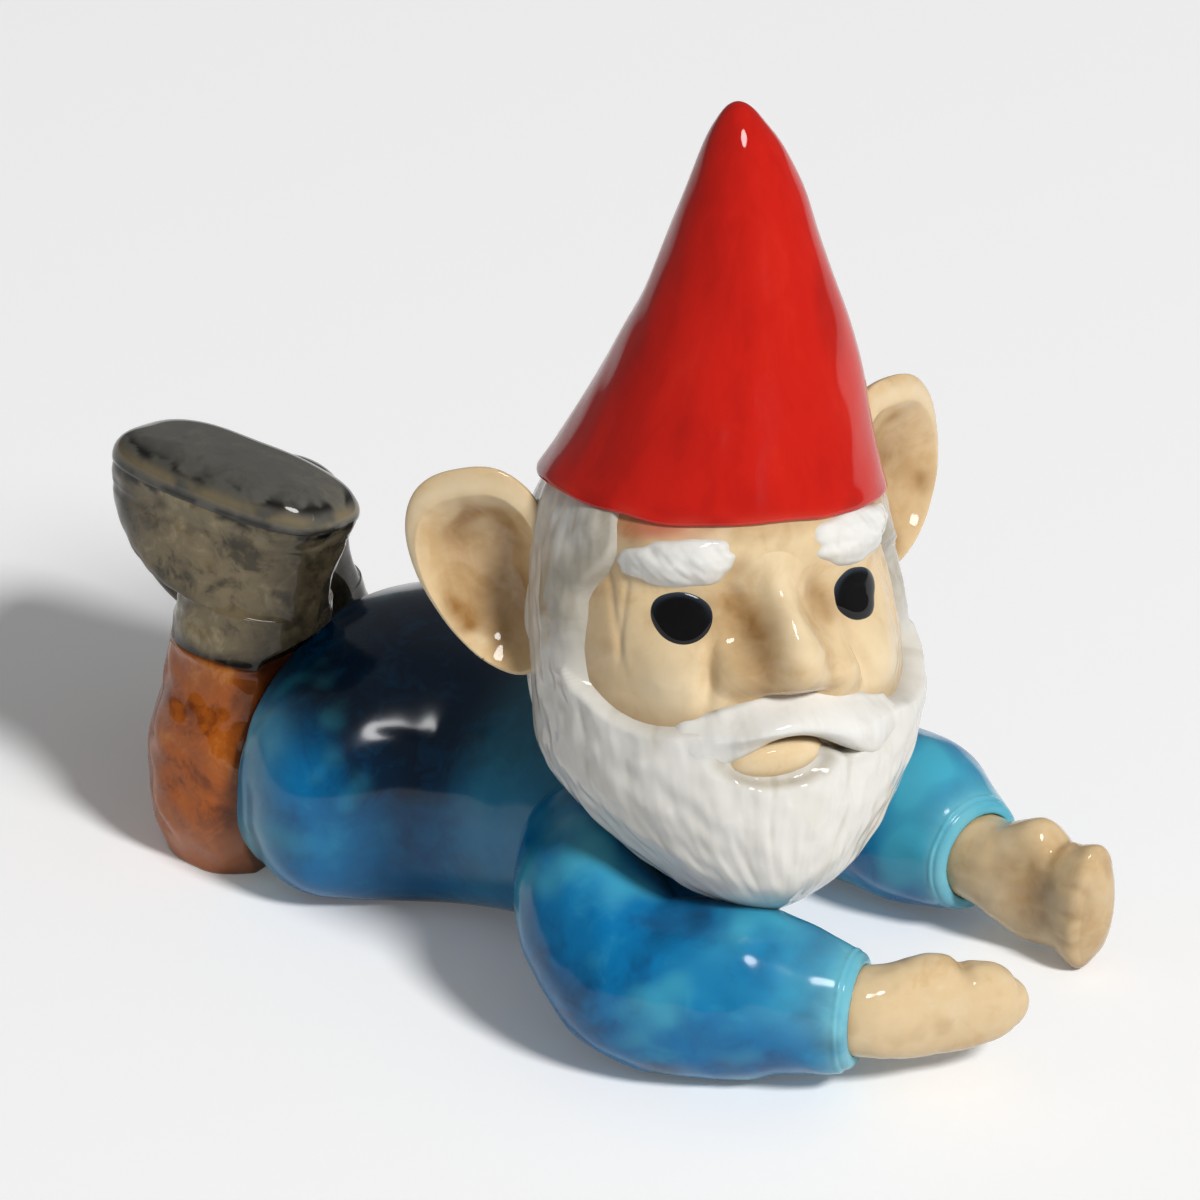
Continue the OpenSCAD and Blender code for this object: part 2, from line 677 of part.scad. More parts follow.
// One level of a boot's upper: share of its height, and how far the instep has run out to the toe
function boot_level(share, instep) =
    let (upper = boot_h - sole_t, sides = 24, soft = mix(1, 0.86, share),
         heel = mix(ankle_d / 2, 0.345 * boot_len, share * share),
         toe = mix(ankle_d / 2, 0.62 * boot_len, instep),
         half_w = mix(ankle_d / 2, 0.485 * boot_w, share))
    [for (k = [0 : sides - 1]) let (a = -360 * k / sides)
        [half_w * softened(cos(a), soft), (toe - heel) / 2 + (toe + heel) / 2 * softened(sin(a), soft),
         share * upper]];

// A boot in its own frame, upside down: the ankle is at the origin, the toe points along +Y and the
// sole faces up; the instep leaves the shaft in a rounded quarter
function boot_levels() = concat(
    [for (share = [0, 0.17, 0.32]) boot_level(share, 0)],
    [for (a = [10 : 10 : 90]) boot_level(mix(0.34, 0.84, 1 - pow(cos(a), 0.8)), pow(sin(a), 0.8))],
    [boot_level(1, 1)]);

module boot_frame(side)
    figure() translate(side == RIGHT ? right_ankle : left_ankle)
        rotate(boot_turns_of(side)) children();

module boot(side) color("dimgray")
    difference() {
        boot_frame(side) skin(boot_levels());
        figure() translate([-far, hem_y - far, -far]) cube([2 * far, far, far + hem_h + lute_gap]);
    }

module right_boot() boot(RIGHT);
module left_boot() boot(LEFT);

// A sole: a slab with a rounded upper edge, broad at the toe and narrow at the heel
module sole(side) color("slategray")
    boot_frame(side) translate([0, 0, boot_h - sole_t])
        skin([for (i = [0 : 5])
            let (a = 78 * i / 5, inset = 1.2 * (1 - cos(a)), h = sole_t * sin(a) / sin(78))
            [for (k = [0 : 27])
                let (b = -360 * k / 28, y = 0.14 * boot_len + (boot_len / 2 - inset) * softened(sin(b), 0.8))
                [(0.5 * boot_w - inset) * softened(cos(b), 0.8), y, h]]]);

module right_sole() sole(RIGHT);
module left_sole() sole(LEFT);

tunic();
head();
hat();
right_ear();
left_ear();
right_eye();
left_eye();
right_eyebrow();
left_eyebrow();
nose();
moustache();
lower_lip();
beard();
nape_hair();
right_sleeve();
left_sleeve();
right_hand();
left_hand();
right_trouser_leg();
left_trouser_leg();
right_boot();
left_boot();
right_sole();
left_sole();
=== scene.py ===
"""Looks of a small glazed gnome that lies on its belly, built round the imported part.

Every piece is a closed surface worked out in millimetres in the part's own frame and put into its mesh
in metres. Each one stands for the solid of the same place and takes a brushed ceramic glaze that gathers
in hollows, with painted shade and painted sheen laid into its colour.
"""
import logging
import math
from dataclasses import dataclass
from enum import Enum, IntEnum
from typing import Callable, Iterable

import bpy
import numpy as np
from mathutils import Matrix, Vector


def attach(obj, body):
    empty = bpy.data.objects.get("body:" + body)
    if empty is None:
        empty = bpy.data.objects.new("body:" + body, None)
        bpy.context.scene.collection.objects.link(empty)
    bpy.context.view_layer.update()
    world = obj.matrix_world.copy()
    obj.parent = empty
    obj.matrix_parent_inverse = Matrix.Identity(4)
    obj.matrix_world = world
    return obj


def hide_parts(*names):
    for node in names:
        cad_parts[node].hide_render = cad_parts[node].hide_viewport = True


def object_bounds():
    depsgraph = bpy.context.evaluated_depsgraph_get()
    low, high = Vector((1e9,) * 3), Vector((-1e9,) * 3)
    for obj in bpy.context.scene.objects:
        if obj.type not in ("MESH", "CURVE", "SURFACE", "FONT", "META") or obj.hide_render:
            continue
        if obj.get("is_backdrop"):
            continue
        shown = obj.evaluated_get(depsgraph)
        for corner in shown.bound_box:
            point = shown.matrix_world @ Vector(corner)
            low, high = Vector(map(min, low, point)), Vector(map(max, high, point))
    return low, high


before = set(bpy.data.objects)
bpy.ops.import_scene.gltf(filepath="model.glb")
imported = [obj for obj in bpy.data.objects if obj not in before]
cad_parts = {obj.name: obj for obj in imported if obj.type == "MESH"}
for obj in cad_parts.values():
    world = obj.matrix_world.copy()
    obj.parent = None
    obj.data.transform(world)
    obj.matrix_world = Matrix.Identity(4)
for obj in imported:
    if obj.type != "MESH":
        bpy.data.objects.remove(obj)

LOG = logging.getLogger("gnome")
MM = 0.001
BODY = "root"

Array = np.ndarray
Values = float | np.ndarray
Colour = tuple[float, float, float]
Feed = float | tuple[float, ...] | bpy.types.NodeSocket

UP = np.array([0.0, 0.0, 1.0])
BACK = np.array([0.0, 1.0, 0.0])


class Side(IntEnum):
    """The figure's own right and left, as signs along X."""

    RIGHT = -1
    LEFT = 1

    @property
    def word(self) -> str:
        """The side as it stands in the names of pieces."""
        return "right" if self is Side.RIGHT else "left"


class Mask(str, Enum):
    """Per-point shares, from 0 to 1, that the glazes read."""

    # Glaze gathered in hollows, and painted shade in hollows, creases, under parts and on shaded sides.
    POOL = "pool_and_shade"
    # Glaze drawn fine over edges, and painted sheen and painted reflections.
    THIN = "thin"
    # Washes of another tone, and painted light on lit sides.
    STAIN = "stain"
    FOOT = "foot"


# Curves and shares


def unit(v: Array) -> Array:
    """Vectors of length one along the last axis."""
    v = np.asarray(v, float)
    return v / np.maximum(np.linalg.norm(v, axis=-1, keepdims=True), 1e-12)


def mix(a: Values, b: Values, t: Values) -> Values:
    """The value a share t of the way from a to b."""
    return a + (b - a) * t


def bell(x: Values, width: float) -> Values:
    """A bump of height one round zero, exp of minus (x over width) squared."""
    return np.exp(-np.square(np.asarray(x, float) / width))


def ramp(low: Values, high: Values, x: Values) -> Values:
    """A smooth step from 0 at low to 1 at high."""
    t = np.clip((np.asarray(x, float) - low) / (high - low), 0.0, 1.0)
    return t * t * (3.0 - 2.0 * t)


def turn(axis: str, degrees: float) -> Array:
    """Rotation matrix about one axis.

    Args:
        axis: "x", "y" or "z".
        degrees: Angle by the right-hand rule.

    Returns:
        A 3 by 3 matrix for column vectors.
    """
    c, s = math.cos(math.radians(degrees)), math.sin(math.radians(degrees))
    i, j = {"x": (1, 2), "y": (2, 0), "z": (0, 1)}[axis]
    m = np.eye(3)
    m[i, i], m[i, j], m[j, i], m[j, j] = c, -s, s, c
    return m


def through(stations: Array, t: Array) -> Array:
    """A smooth curve through stations: the cubic whose slope at each one runs between its neighbours.

    Args:
        stations: Values to pass through, one row each.
        t: Parameters counted in stations.

    Returns:
        One row of values per parameter.
    """
    last = len(stations) - 1
    i = np.clip(np.floor(t).astype(int), 0, last - 1)
    f = (t - i)[:, None]
    a, b = stations[np.maximum(i - 1, 0)], stations[i]
    c, d = stations[i + 1], stations[np.minimum(i + 2, last)]
    return 0.5 * (2 * b + (c - a) * f + (2 * a - 5 * b + 4 * c - d) * f**2 + (3 * b - a - 3 * c + d) * f**3)


def headings(path: Array, t: Array) -> Array:
    """The way a path runs at t, from the chord of half a station to each side."""
    last = len(path) - 1
    return unit(through(path, np.minimum(t + 0.5, last)) - through(path, np.maximum(t - 0.5, 0.0)))


def lumps(points: Array, pitch: float, seed: int) -> Array:
    """Soft unevenness between about -1 and 1: the mean of eleven sine waves of random direction.

    Args:
        points: Places in millimetres, with coordinates along the last axis.
        pitch: Typical distance from crest to crest.
        seed: Seed of the directions and phases.

    Returns:
        One value per point.
    """
    rng = np.random.default_rng(seed)
    ways = unit(rng.normal(size=(11, points.shape[-1])))
    waves = ways * (2 * math.pi / pitch) * rng.uniform(0.65, 1.5, (11, 1))
    return np.sin(points @ waves.T + rng.uniform(0, 2 * math.pi, 11)).mean(-1) * 1.8


def rough(points: Array, *layers: tuple[float, float, int]) -> Array:
    """Unevenness in layers: the sum of lumps, each layer with its height, pitch and seed."""
    return sum(height * lumps(points, pitch, seed) for height, pitch, seed in layers)


# Rings and skins


def oval(sides: int, squareness: float = 2.0, lower: float | None = None) -> Array:
    """Points of a unit superellipse at even polar angles, with radius (|cos|^n + |sin|^n)^(-1/n).

    Args:
        sides: Number of points.
        squareness: The power n, where 2 is a circle.
        lower: The power of the lower half, if it differs.

    Returns:
        An array of x and y, one row per point.
    """
    a = 2 * math.pi * np.arange(sides) / sides
    c, s = np.cos(a), np.sin(a)
    n = np.where(s < 0, lower or squareness, squareness)
    r = (np.abs(c) ** n + np.abs(s) ** n) ** (-1.0 / n)
    return np.stack([r * c, r * s], -1)


def rings_facing(centres: Array, radii: Array, ways: Array, lean: Array, shape: Array) -> Array:
    """Rings of one shape round a row of centres, each square to its way.

    Args:
        centres: One centre per ring.
        radii: Half width and half height per ring.
        ways: The way each ring faces.
        lean: Direction that the second axis of a ring keeps close to.
        shape: Unit outline from oval.

    Returns:
        An array of rings by points by coordinates.
    """
    side = unit(np.cross(ways, lean))
    up = np.cross(side, ways)
    across = (radii[:, :1] * shape[:, 0])[..., None]
    along = (radii[:, 1:2] * shape[:, 1])[..., None]
    return centres[:, None] + side[:, None] * across + up[:, None] * along


def drawn_in(ring: Array, shares: Iterable[float], way: Array = UP, steps: Values = 0.0) -> Array:
    """Copies of a ring that shrink about its centre while they move on along one way.

    Args:
        ring: Points of the ring.
        shares: Share of the ring's size for each copy.
        way: Unit vector along which the copies move.
        steps: How far each copy moves.

    Returns:
        The copies as rings by points by coordinates.
    """
    size = np.asarray(shares, float)[:, None, None]
    move = np.broadcast_to(steps, size.shape[:1])[:, None, None]
    centre = ring.mean(0)
    return centre + (ring - centre) * size + way * move


def loft(stations: Array, steps: int, shape: Array, lean: Array, start: float) -> tuple[Array, Array]:
    """A limb: outlines carried along a smooth path through stations, with a domed start.

    In the dome the first outline shrinks by the cosine while it moves out by the sine.

    Args:
        stations: Rows of x, y, z, half width and half height.
        steps: Rings along the path, less one.
        shape: Unit outline from oval.
        lean: Direction that the second axis keeps close to.
        start: Length of the dome before the path.

    Returns:
        The rings, and each ring's parameter from 0 to 1 along the path.
    """
    t = np.linspace(0, len(stations) - 1, steps + 1)
    s = through(stations, t)
    ways = headings(stations[:, :3], t)
    body = rings_facing(s[:, :3], s[:, 3:5], ways, lean, shape)
    share = t / (len(stations) - 1)
    a = np.radians(88.0 * np.arange(12, 0, -1) / 12)
    dome = drawn_in(body[0], np.cos(a), -ways[0], start * np.sin(a))
    return np.concatenate([dome, body]), np.concatenate([np.zeros(12), share])


def about(degrees: Array, radius: Array, z: Array) -> Array:
    """Places round the upright axis at angles from the front: radius times sine and minus cosine."""
    x = radius * np.sin(np.radians(degrees))
    return np.stack([x, -radius * np.cos(np.radians(degrees)), z + 0 * x], -1)


def lined(values: Array, points: int) -> Array:
    """Values of an outer sheet, followed along each ring by zeros for its lining."""
    return np.concatenate([values, np.zeros((len(values), points))], 1)


def outward(rings: Array) -> Array:
    """Unit normals of rings from the cross product of the ways round and along them."""
    along = np.gradient(rings, axis=0)
    around = np.roll(rings, -1, 1) - np.roll(rings, 1, 1)
    n = unit(np.cross(around, along))
    lean = (n * (rings - rings.mean(1, keepdims=True))).sum()
    return n if lean >= 0 else -n


def swell(rings: Array, amount: Array) -> Array:
    """Rings moved along their normals by an amount per point."""
    return rings + outward(rings) * np.asarray(amount)[..., None]


def settle(points: Array, origin: Array, normal: Array) -> Array:
    """Points behind a plane brought square onto it, as clay pressed flat on a bed.

    Args:
        points: Places with coordinates along the last axis.
        origin: A point of the plane.
        normal: Unit vector towards the side that is kept.

    Returns:
        The places, none of them behind the plane.
    """
    depth = np.minimum((points - origin) @ normal, 0.0)
    return points - depth[..., None] * normal


@dataclass
class Skin:
    """A closed surface with its masks.

    Attributes:
        points: Places in millimetres.
        quads: Corner indices of four-sided faces.
        tris: Corner indices of the faces round the two poles.
        masks: A share per point under each mask's name.
        local: Places in the piece's own upright frame, for strokes that follow it.
    """

    points: Array
    quads: Array
    tris: Array
    masks: dict[str, Array]
    local: Array | None = None

    def volume(self) -> float:
        """Signed volume, the sum of the tetrahedra between the faces and the origin."""
        corners = np.concatenate([self.quads[:, [0, 1, 2]], self.quads[:, [0, 2, 3]], self.tris])
        a, b, c = (self.points[corners[:, k]] for k in range(3))
        return float((a * np.cross(b, c)).sum() / 6.0)

    @classmethod
    def over(cls, rings: Array, masks: dict[Mask, Array], local: Array | None = None) -> "Skin":
        """Closes a stack of rings with one pole at each end, faces pointing outwards.

        Args:
            rings: Rings by points by coordinates.
            masks: Shares that spread over the rings' grid.
            local: Places in the piece's own frame, on the same grid.

        Returns:
            The closed surface.
        """
        count, sides, _ = rings.shape

        def with_poles(values: Array) -> Array:
            """Grid values in a row, followed by the means of the first and the last ring."""
            flat = values.reshape(count * sides, -1)
            return np.concatenate([flat, flat[:sides].mean(0)[None], flat[-sides:].mean(0)[None]])

        i, k = np.meshgrid(np.arange(count - 1), np.arange(sides), indexing="ij")
        a, b = i * sides + k, i * sides + (k + 1) % sides
        quads = np.stack([a, b, b + sides, a + sides], -1).reshape(-1, 4)
        k = np.arange(sides)
        following = (k + 1) % sides
        first, last, base = count * sides, count * sides + 1, (count - 1) * sides
        tris = np.concatenate([np.stack([np.full(sides, first), following, k], 1),
                               np.stack([np.full(sides, last), base + k, base + following], 1)])
        grid = (count, sides)
        spread = {m.value: with_poles(np.broadcast_to(v, grid))[:, 0] for m, v in masks.items()}
        skin = cls(with_poles(rings), quads, tris, spread, None if local is None else with_poles(local))
        if skin.volume() < 0:
            skin.quads, skin.tris = quads[:, ::-1], tris[:, ::-1]
        return skin


# Glaze finishes


def srgb(red: int, green: int, blue: int) -> Colour:
    """A screen colour from 0 to 255 as linear shares."""
    def linear(value: int) -> float:
        """One channel by the standard curve."""
        s = value / 255.0
        return s / 12.92 if s <= 0.04045 else ((s + 0.055) / 1.055) ** 2.4
    return linear(red), linear(green), linear(blue)


class Nodes:
    """A short hand for building one node tree."""

    def __init__(self, tree: bpy.types.NodeTree) -> None:
        """Takes the tree that the nodes go into."""
        self.tree = tree
        self.made = 0

    def add(self, kind: str, values: dict[int | str, Feed] | None = None, **settings) -> bpy.types.Node:
        """Makes a node, sets its properties and feeds its inputs.

        Args:
            kind: Blender's name of the node.
            values: Input index or name to a constant, or to a socket that is linked.
            **settings: Properties of the node.

        Returns:
            The node.
        """
        node = self.tree.nodes.new(kind)
        node.location = (180 * (self.made % 9), -220 * (self.made // 9))
        self.made += 1
        for key, value in settings.items():
            setattr(node, key, value)
        for key, value in (values or {}).items():
            if isinstance(value, bpy.types.NodeSocket):
                self.tree.links.new(value, node.inputs[key])
            elif isinstance(value, tuple) and len(value) == 3 and node.inputs[key].type == "RGBA":
                node.inputs[key].default_value = (*value, 1.0)
            else:
                node.inputs[key].default_value = value
        return node

    def blend(self, share: Feed, a: Feed, b: Feed) -> bpy.types.NodeSocket:
        """A colour a share of the way from a to b."""
        node = self.add("ShaderNodeMix", {0: share, 6: a, 7: b}, data_type="RGBA", clamp_factor=True)
        return node.outputs[2]

    def sums(self, operation: str, a: Feed, b: Feed = 0.0, clamp: bool = False) -> bpy.types.NodeSocket:
        """One step of arithmetic on two values."""
        return self.add("ShaderNodeMath", {0: a, 1: b}, operation=operation, use_clamp=clamp).outputs[0]

    def step(self, value: Feed, low: float, high: float) -> bpy.types.NodeSocket:
        """A smooth step from 0 at low to 1 at high."""
        node = self.add("ShaderNodeMapRange", {0: value, 1: low, 2: high}, interpolation_type="SMOOTHSTEP")
        return node.outputs[0]

    def noise(self, vector: Feed, scale: Feed, detail: float = 3.0, twist: float = 0.0,
              grit: float = 0.55) -> bpy.types.NodeSocket:
        """Cloudy noise from about 0 to 1."""
        node = self.add("ShaderNodeTexNoise", {"Vector": vector, "Scale": scale, "Detail": detail,
                                               "Roughness": grit, "Distortion": twist})
        return node.outputs[0]


@dataclass(frozen=True)
class Socket:
    """One input or output of a shared node group."""

    name: str
    kind: str
    default: float | Colour | None = None


class GlazeGroups:
    """The shared effects of all glazes, each one a shader node group that is built once."""

    FLOAT, COLOUR, VECTOR = "NodeSocketFloat", "NodeSocketColor", "NodeSocketVector"

    def __init__(self) -> None:
        """Builds the groups."""
        self.mottle = self._mottle()
        self.pooling_and_shade = self._pooling_and_shade()
        self.specks = self._specks()
        self.ripple = self._ripple()

    def _open(self, name: str, takes: list[Socket], gives: list[Socket]
              ) -> tuple[bpy.types.NodeTree, Nodes, bpy.types.Node, bpy.types.Node]:
        """Makes an empty group with its sockets.

        Args:
            name: Name of the group.
            takes: Its inputs.
            gives: Its outputs.

        Returns:
            The tree, a node helper, the input node and the output node.
        """
        tree = bpy.data.node_groups.new(name, "ShaderNodeTree")
        for sockets, way in ((takes, "INPUT"), (gives, "OUTPUT")):
            for s in sockets:
                made = tree.interface.new_socket(name=s.name, in_out=way, socket_type=s.kind)
                if s.default is not None:
                    made.default_value = (*s.default, 1.0) if isinstance(s.default, tuple) else s.default
        n = Nodes(tree)
        return tree, n, n.add("NodeGroupInput"), n.add("NodeGroupOutput")

    def _mottle(self) -> bpy.types.NodeTree:
        """Three tones of one glaze in soft clouds, as brushed coats melt into each other."""
        tree, n, take, give = self._open(
            "glaze_mottle",
            [Socket("Vector", self.VECTOR), Socket("Scale", self.FLOAT, 300.0),
             Socket("Deep", self.COLOUR), Socket("Body", self.COLOUR), Socket("Pale", self.COLOUR),
             Socket("Deep share", self.FLOAT, 0.5), Socket("Pale share", self.FLOAT, 0.5)],
            [Socket("Colour", self.COLOUR), Socket("Cloud", self.FLOAT)])
        clouds = n.noise(take.outputs[0], take.outputs[1], 4.0, 0.6, 0.6)
        fine = n.noise(take.outputs[0], n.sums("MULTIPLY", take.outputs[1], 3.1), 3.0, 1.2, 0.6)
        cloud = n.sums("ADD", n.sums("MULTIPLY", clouds, 0.72), n.sums("MULTIPLY", fine, 0.28))
        dark = n.sums("MULTIPLY", n.step(cloud, 0.52, 0.36), take.outputs[5])
        light = n.sums("MULTIPLY", n.step(cloud, 0.52, 0.68), take.outputs[6])
        colour = n.blend(light, n.blend(dark, take.outputs[3], take.outputs[2]), take.outputs[4])
        tree.links.new(colour, give.inputs[0])
        tree.links.new(cloud, give.inputs[1])
        return tree

    def _pooling_and_shade(self) -> bpy.types.NodeTree:
        """Glaze that gathers in hollows and draws fine over edges, with a broken border; the same shares also
        lay painted shade and painted sheen.
        """
        tree, n, take, give = self._open(
            "glaze_pooling_and_shade",
            [Socket("Vector", self.VECTOR), Socket("Colour", self.COLOUR), Socket("Pooled_and_shaded", self.COLOUR),
             Socket("Thin_and_sheen", self.COLOUR), Socket("Pool_and_shade", self.FLOAT, 0.0), Socket("Edge_and_sheen", self.FLOAT, 0.0)],
            [Socket("Colour", self.COLOUR)])
        broken = n.noise(take.outputs[0], 650.0, 4.0, 0.8)
        swing = n.sums("MULTIPLY", n.sums("SUBTRACT", broken, 0.5), 0.9)
        pool_and_shade = n.sums("MULTIPLY", n.sums("ADD", 1.0, swing), take.outputs[4], clamp=True)
        edge = n.sums("MULTIPLY", n.sums("ADD", 1.0, swing), take.outputs[5], clamp=True)
        colour = n.blend(edge, n.blend(pool_and_shade, take.outputs[1], take.outputs[2]), take.outputs[3])
        tree.links.new(colour, give.inputs[0])
        return tree

    def _specks(self) -> bpy.types.NodeTree:
        """Scattered iron specks: the middles of a few cells of a cell pattern."""
        tree, n, take, give = self._open(
            "glaze_specks",
            [Socket("Vector", self.VECTOR), Socket("Scale", self.FLOAT, 700.0),
             Socket("Share", self.FLOAT, 0.1), Socket("Size", self.FLOAT, 0.12),
             Socket("Colour", self.COLOUR), Socket("Speck", self.COLOUR)],
            [Socket("Colour", self.COLOUR), Socket("Speckled", self.FLOAT)])
        cells = n.add("ShaderNodeTexVoronoi", {"Vector": take.outputs[0], "Scale": take.outputs[1]})
        chance = n.add("ShaderNodeSeparateColor", {0: cells.outputs["Color"]})
        chosen = n.sums("LESS_THAN", chance.outputs[0], take.outputs[2])
        reach = n.sums("MULTIPLY", take.outputs[3], n.sums("ADD", 0.4, chance.outputs[1]))
        near = n.sums("SUBTRACT", 1.0, n.sums("DIVIDE", cells.outputs["Distance"], reach), clamp=True)
        mask = n.sums("MULTIPLY", n.step(near, 0.0, 0.5), chosen)
        tree.links.new(n.blend(mask, take.outputs[4], take.outputs[5]), give.inputs[0])
        tree.links.new(mask, give.inputs[1])
        return tree

    def _ripple(self) -> bpy.types.NodeTree:
        """Height of a fired coat: long waves of the brush, a fine peel and a few pinholes."""
        tree, n, take, give = self._open(
            "glaze_ripple",
            [Socket("Vector", self.VECTOR), Socket("Wave", self.FLOAT, 1.0),
             Socket("Peel", self.FLOAT, 1.0)],
            [Socket("Height", self.FLOAT), Socket("Gloss", self.FLOAT)])
        wave = n.noise(take.outputs[0], 260.0, 2.0)
        peel = n.noise(take.outputs[0], 1500.0, 2.0)
        pits = n.add("ShaderNodeTexVoronoi", {"Vector": take.outputs[0], "Scale": 520.0})
        pit = n.step(pits.outputs["Distance"], 0.07, 0.02)
        height = n.sums("ADD", n.sums("MULTIPLY", wave, take.outputs[1]),
                        n.sums("MULTIPLY", n.sums("MULTIPLY", peel, 0.16), take.outputs[2]))
        tree.links.new(n.sums("SUBTRACT", height, n.sums("MULTIPLY", pit, 0.12)), give.inputs[0])
        gloss = n.sums("ADD", 0.2, n.sums("MULTIPLY", n.noise(take.outputs[0], 420.0, 3.0), 0.22))
        tree.links.new(gloss, give.inputs[1])
        return tree


BARE_CLAY = srgb(214, 203, 186)
SPECK_SIZE = 0.085
RIPPLE_STRENGTH = 0.35
RIPPLE_HEIGHT = 0.1 * MM
COAT_IOR = 1.4


@dataclass(frozen=True)
class Glaze:
    """One coat of coloured glaze.

    Attributes:
        slot: The record's material slot.
        deep: Tone where the coat is thick.
        body: Main tone.
        pale: Tone where the coat is worn by the brush.
        pooled_and_shaded: Tone of the coat gathered in hollows, also laid as painted shade.
        thin: Tone over edges, also laid as painted sheen and painted reflections.
        stain: Tone of washes that the stain mask lays on, also laid as painted light.
        scale: Clouds per metre.
        deep_share: How far thick clouds take over.
        pale_share: How far worn clouds take over.
        specks: Share of cells with a speck.
        speck: Tone of the specks.
        stroke: Stretch of the pattern in the piece's own upright frame, or none for even clouds.
        wave: Height of the brush waves.
        blur: Roughness of the clear coat.
    """

    slot: str
    deep: Colour
    body: Colour
    pale: Colour
    pooled_and_shaded: Colour
    thin: Colour
    stain: Colour
    scale: float = 240.0
    deep_share: float = 0.6
    pale_share: float = 0.5
    specks: float = 0.0
    speck: Colour = (0.02, 0.016, 0.012)
    stroke: tuple[float, float, float] | None = None
    wave: float = 1.0
    blur: float = 0.05

    def material(self, groups: GlazeGroups) -> bpy.types.Material:
        """Builds the material: clouds, gathered glaze with painted shade, fine edges with painted sheen,
        washes with painted light and specks under a clear glossy coat.

        Args:
            groups: The shared effects.

        Returns:
            The material.
        """
        made = bpy.data.materials.new(self.slot)
        made.use_nodes = True
        made.diffuse_color = (*self.body, 1.0)
        tree = made.node_tree
        tree.nodes.clear()
        n = Nodes(tree)
        place = n.add("ShaderNodeTexCoord").outputs["Object"]
        pattern = place
        if self.stroke is not None:
            own = n.add("ShaderNodeAttribute", attribute_name="local").outputs["Vector"]
            pattern = n.add("ShaderNodeMapping", {"Vector": own, "Scale": self.stroke}).outputs[0]
        mask = {m: n.add("ShaderNodeAttribute", attribute_name=m.value).outputs["Fac"] for m in Mask}

        def group(effect: bpy.types.NodeTree, values: dict[int | str, Feed]) -> bpy.types.Node:
            """Places one shared effect with this glaze's own values."""
            return n.add("ShaderNodeGroup", values, node_tree=effect)

        cloud = group(groups.mottle, {
            "Vector": pattern, "Scale": self.scale, "Deep": self.deep, "Body": self.body,
            "Pale": self.pale, "Deep share": self.deep_share, "Pale share": self.pale_share})
        pooled_and_shaded = group(groups.pooling_and_shade, {
            "Vector": place, "Colour": cloud.outputs[0], "Pooled_and_shaded": self.pooled_and_shaded, "Thin_and_sheen": self.thin,
            "Pool_and_shade": mask[Mask.POOL], "Edge_and_sheen": mask[Mask.THIN]})
        washed = n.blend(mask[Mask.STAIN], pooled_and_shaded.outputs[0], self.stain)
        dotted = group(groups.specks, {
            "Vector": place, "Share": self.specks, "Size": SPECK_SIZE, "Colour": washed, "Speck": self.speck})
        colour = n.blend(mask[Mask.FOOT], dotted.outputs[0], BARE_CLAY)
        ripple = group(groups.ripple, {"Vector": place, "Wave": self.wave})
        bump = n.add("ShaderNodeBump", {"Strength": RIPPLE_STRENGTH, "Distance": RIPPLE_HEIGHT,
                                        "Height": ripple.outputs[0]})
        surface = n.add("ShaderNodeBsdfPrincipled", {
            "Base Color": colour, "Roughness": ripple.outputs[1], "Specular IOR Level": 0.0,
            "Normal": bump.outputs[0],
            "Coat Weight": n.sums("SUBTRACT", 1.0, mask[Mask.FOOT], clamp=True),
            "Coat Roughness": self.blur, "Coat IOR": COAT_IOR})
        out = n.add("ShaderNodeOutputMaterial")
        tree.links.new(surface.outputs[0], out.inputs[0])
        return made


# Besides their own colours, the pooled_and_shaded tones paint shade, the blue thin and stain tones paint
# light, and the black thin tone paints a reflection.
BLUE = Glaze("blue_glaze", deep=srgb(0, 66, 116), body=srgb(0, 112, 168), pale=srgb(40, 140, 182),
             pooled_and_shaded=srgb(0, 38, 66), thin=srgb(116, 186, 202), stain=srgb(70, 168, 194), scale=150.0,
             deep_share=0.6, pale_share=0.75, blur=0.14)
SKIN = Glaze("skin_glaze", deep=srgb(202, 166, 114), body=srgb(222, 196, 154), pale=srgb(230, 211, 178),
             pooled_and_shaded=srgb(146, 106, 58), thin=srgb(230, 212, 178), stain=srgb(190, 60, 48), scale=230.0,
             deep_share=0.55, pale_share=0.5, specks=0.05, speck=srgb(120, 88, 52))
RED = Glaze("red_glaze", deep=srgb(160, 14, 8), body=srgb(194, 27, 15), pale=srgb(208, 42, 24),
            pooled_and_shaded=srgb(134, 16, 12), thin=srgb(204, 76, 60), stain=srgb(226, 190, 170), scale=240.0,
            deep_share=0.3, pale_share=0.4, stroke=(1.0, 1.0, 0.3))
WHITE = Glaze("white_glaze", deep=srgb(214, 211, 204), body=srgb(228, 226, 220), pale=srgb(235, 233, 228),
              pooled_and_shaded=srgb(172, 164, 148), thin=srgb(232, 230, 224), stain=srgb(206, 200, 186), scale=420.0,
              deep_share=0.5, pale_share=0.4, specks=0.045, speck=srgb(128, 118, 104),
              stroke=(1.0, 1.0, 0.28))
BLACK = Glaze("black_glaze", deep=srgb(5, 5, 6), body=srgb(9, 9, 11), pale=srgb(16, 17, 20),
              pooled_and_shaded=srgb(4, 4, 5), thin=srgb(56, 66, 76), stain=srgb(52, 60, 70), scale=400.0)
AMBER = Glaze("amber_glaze", deep=srgb(118, 52, 8), body=srgb(176, 90, 20), pale=srgb(206, 134, 66),
              pooled_and_shaded=srgb(72, 32, 8), thin=srgb(192, 124, 88), stain=srgb(150, 74, 44), scale=330.0,
              deep_share=0.9, pale_share=0.7)
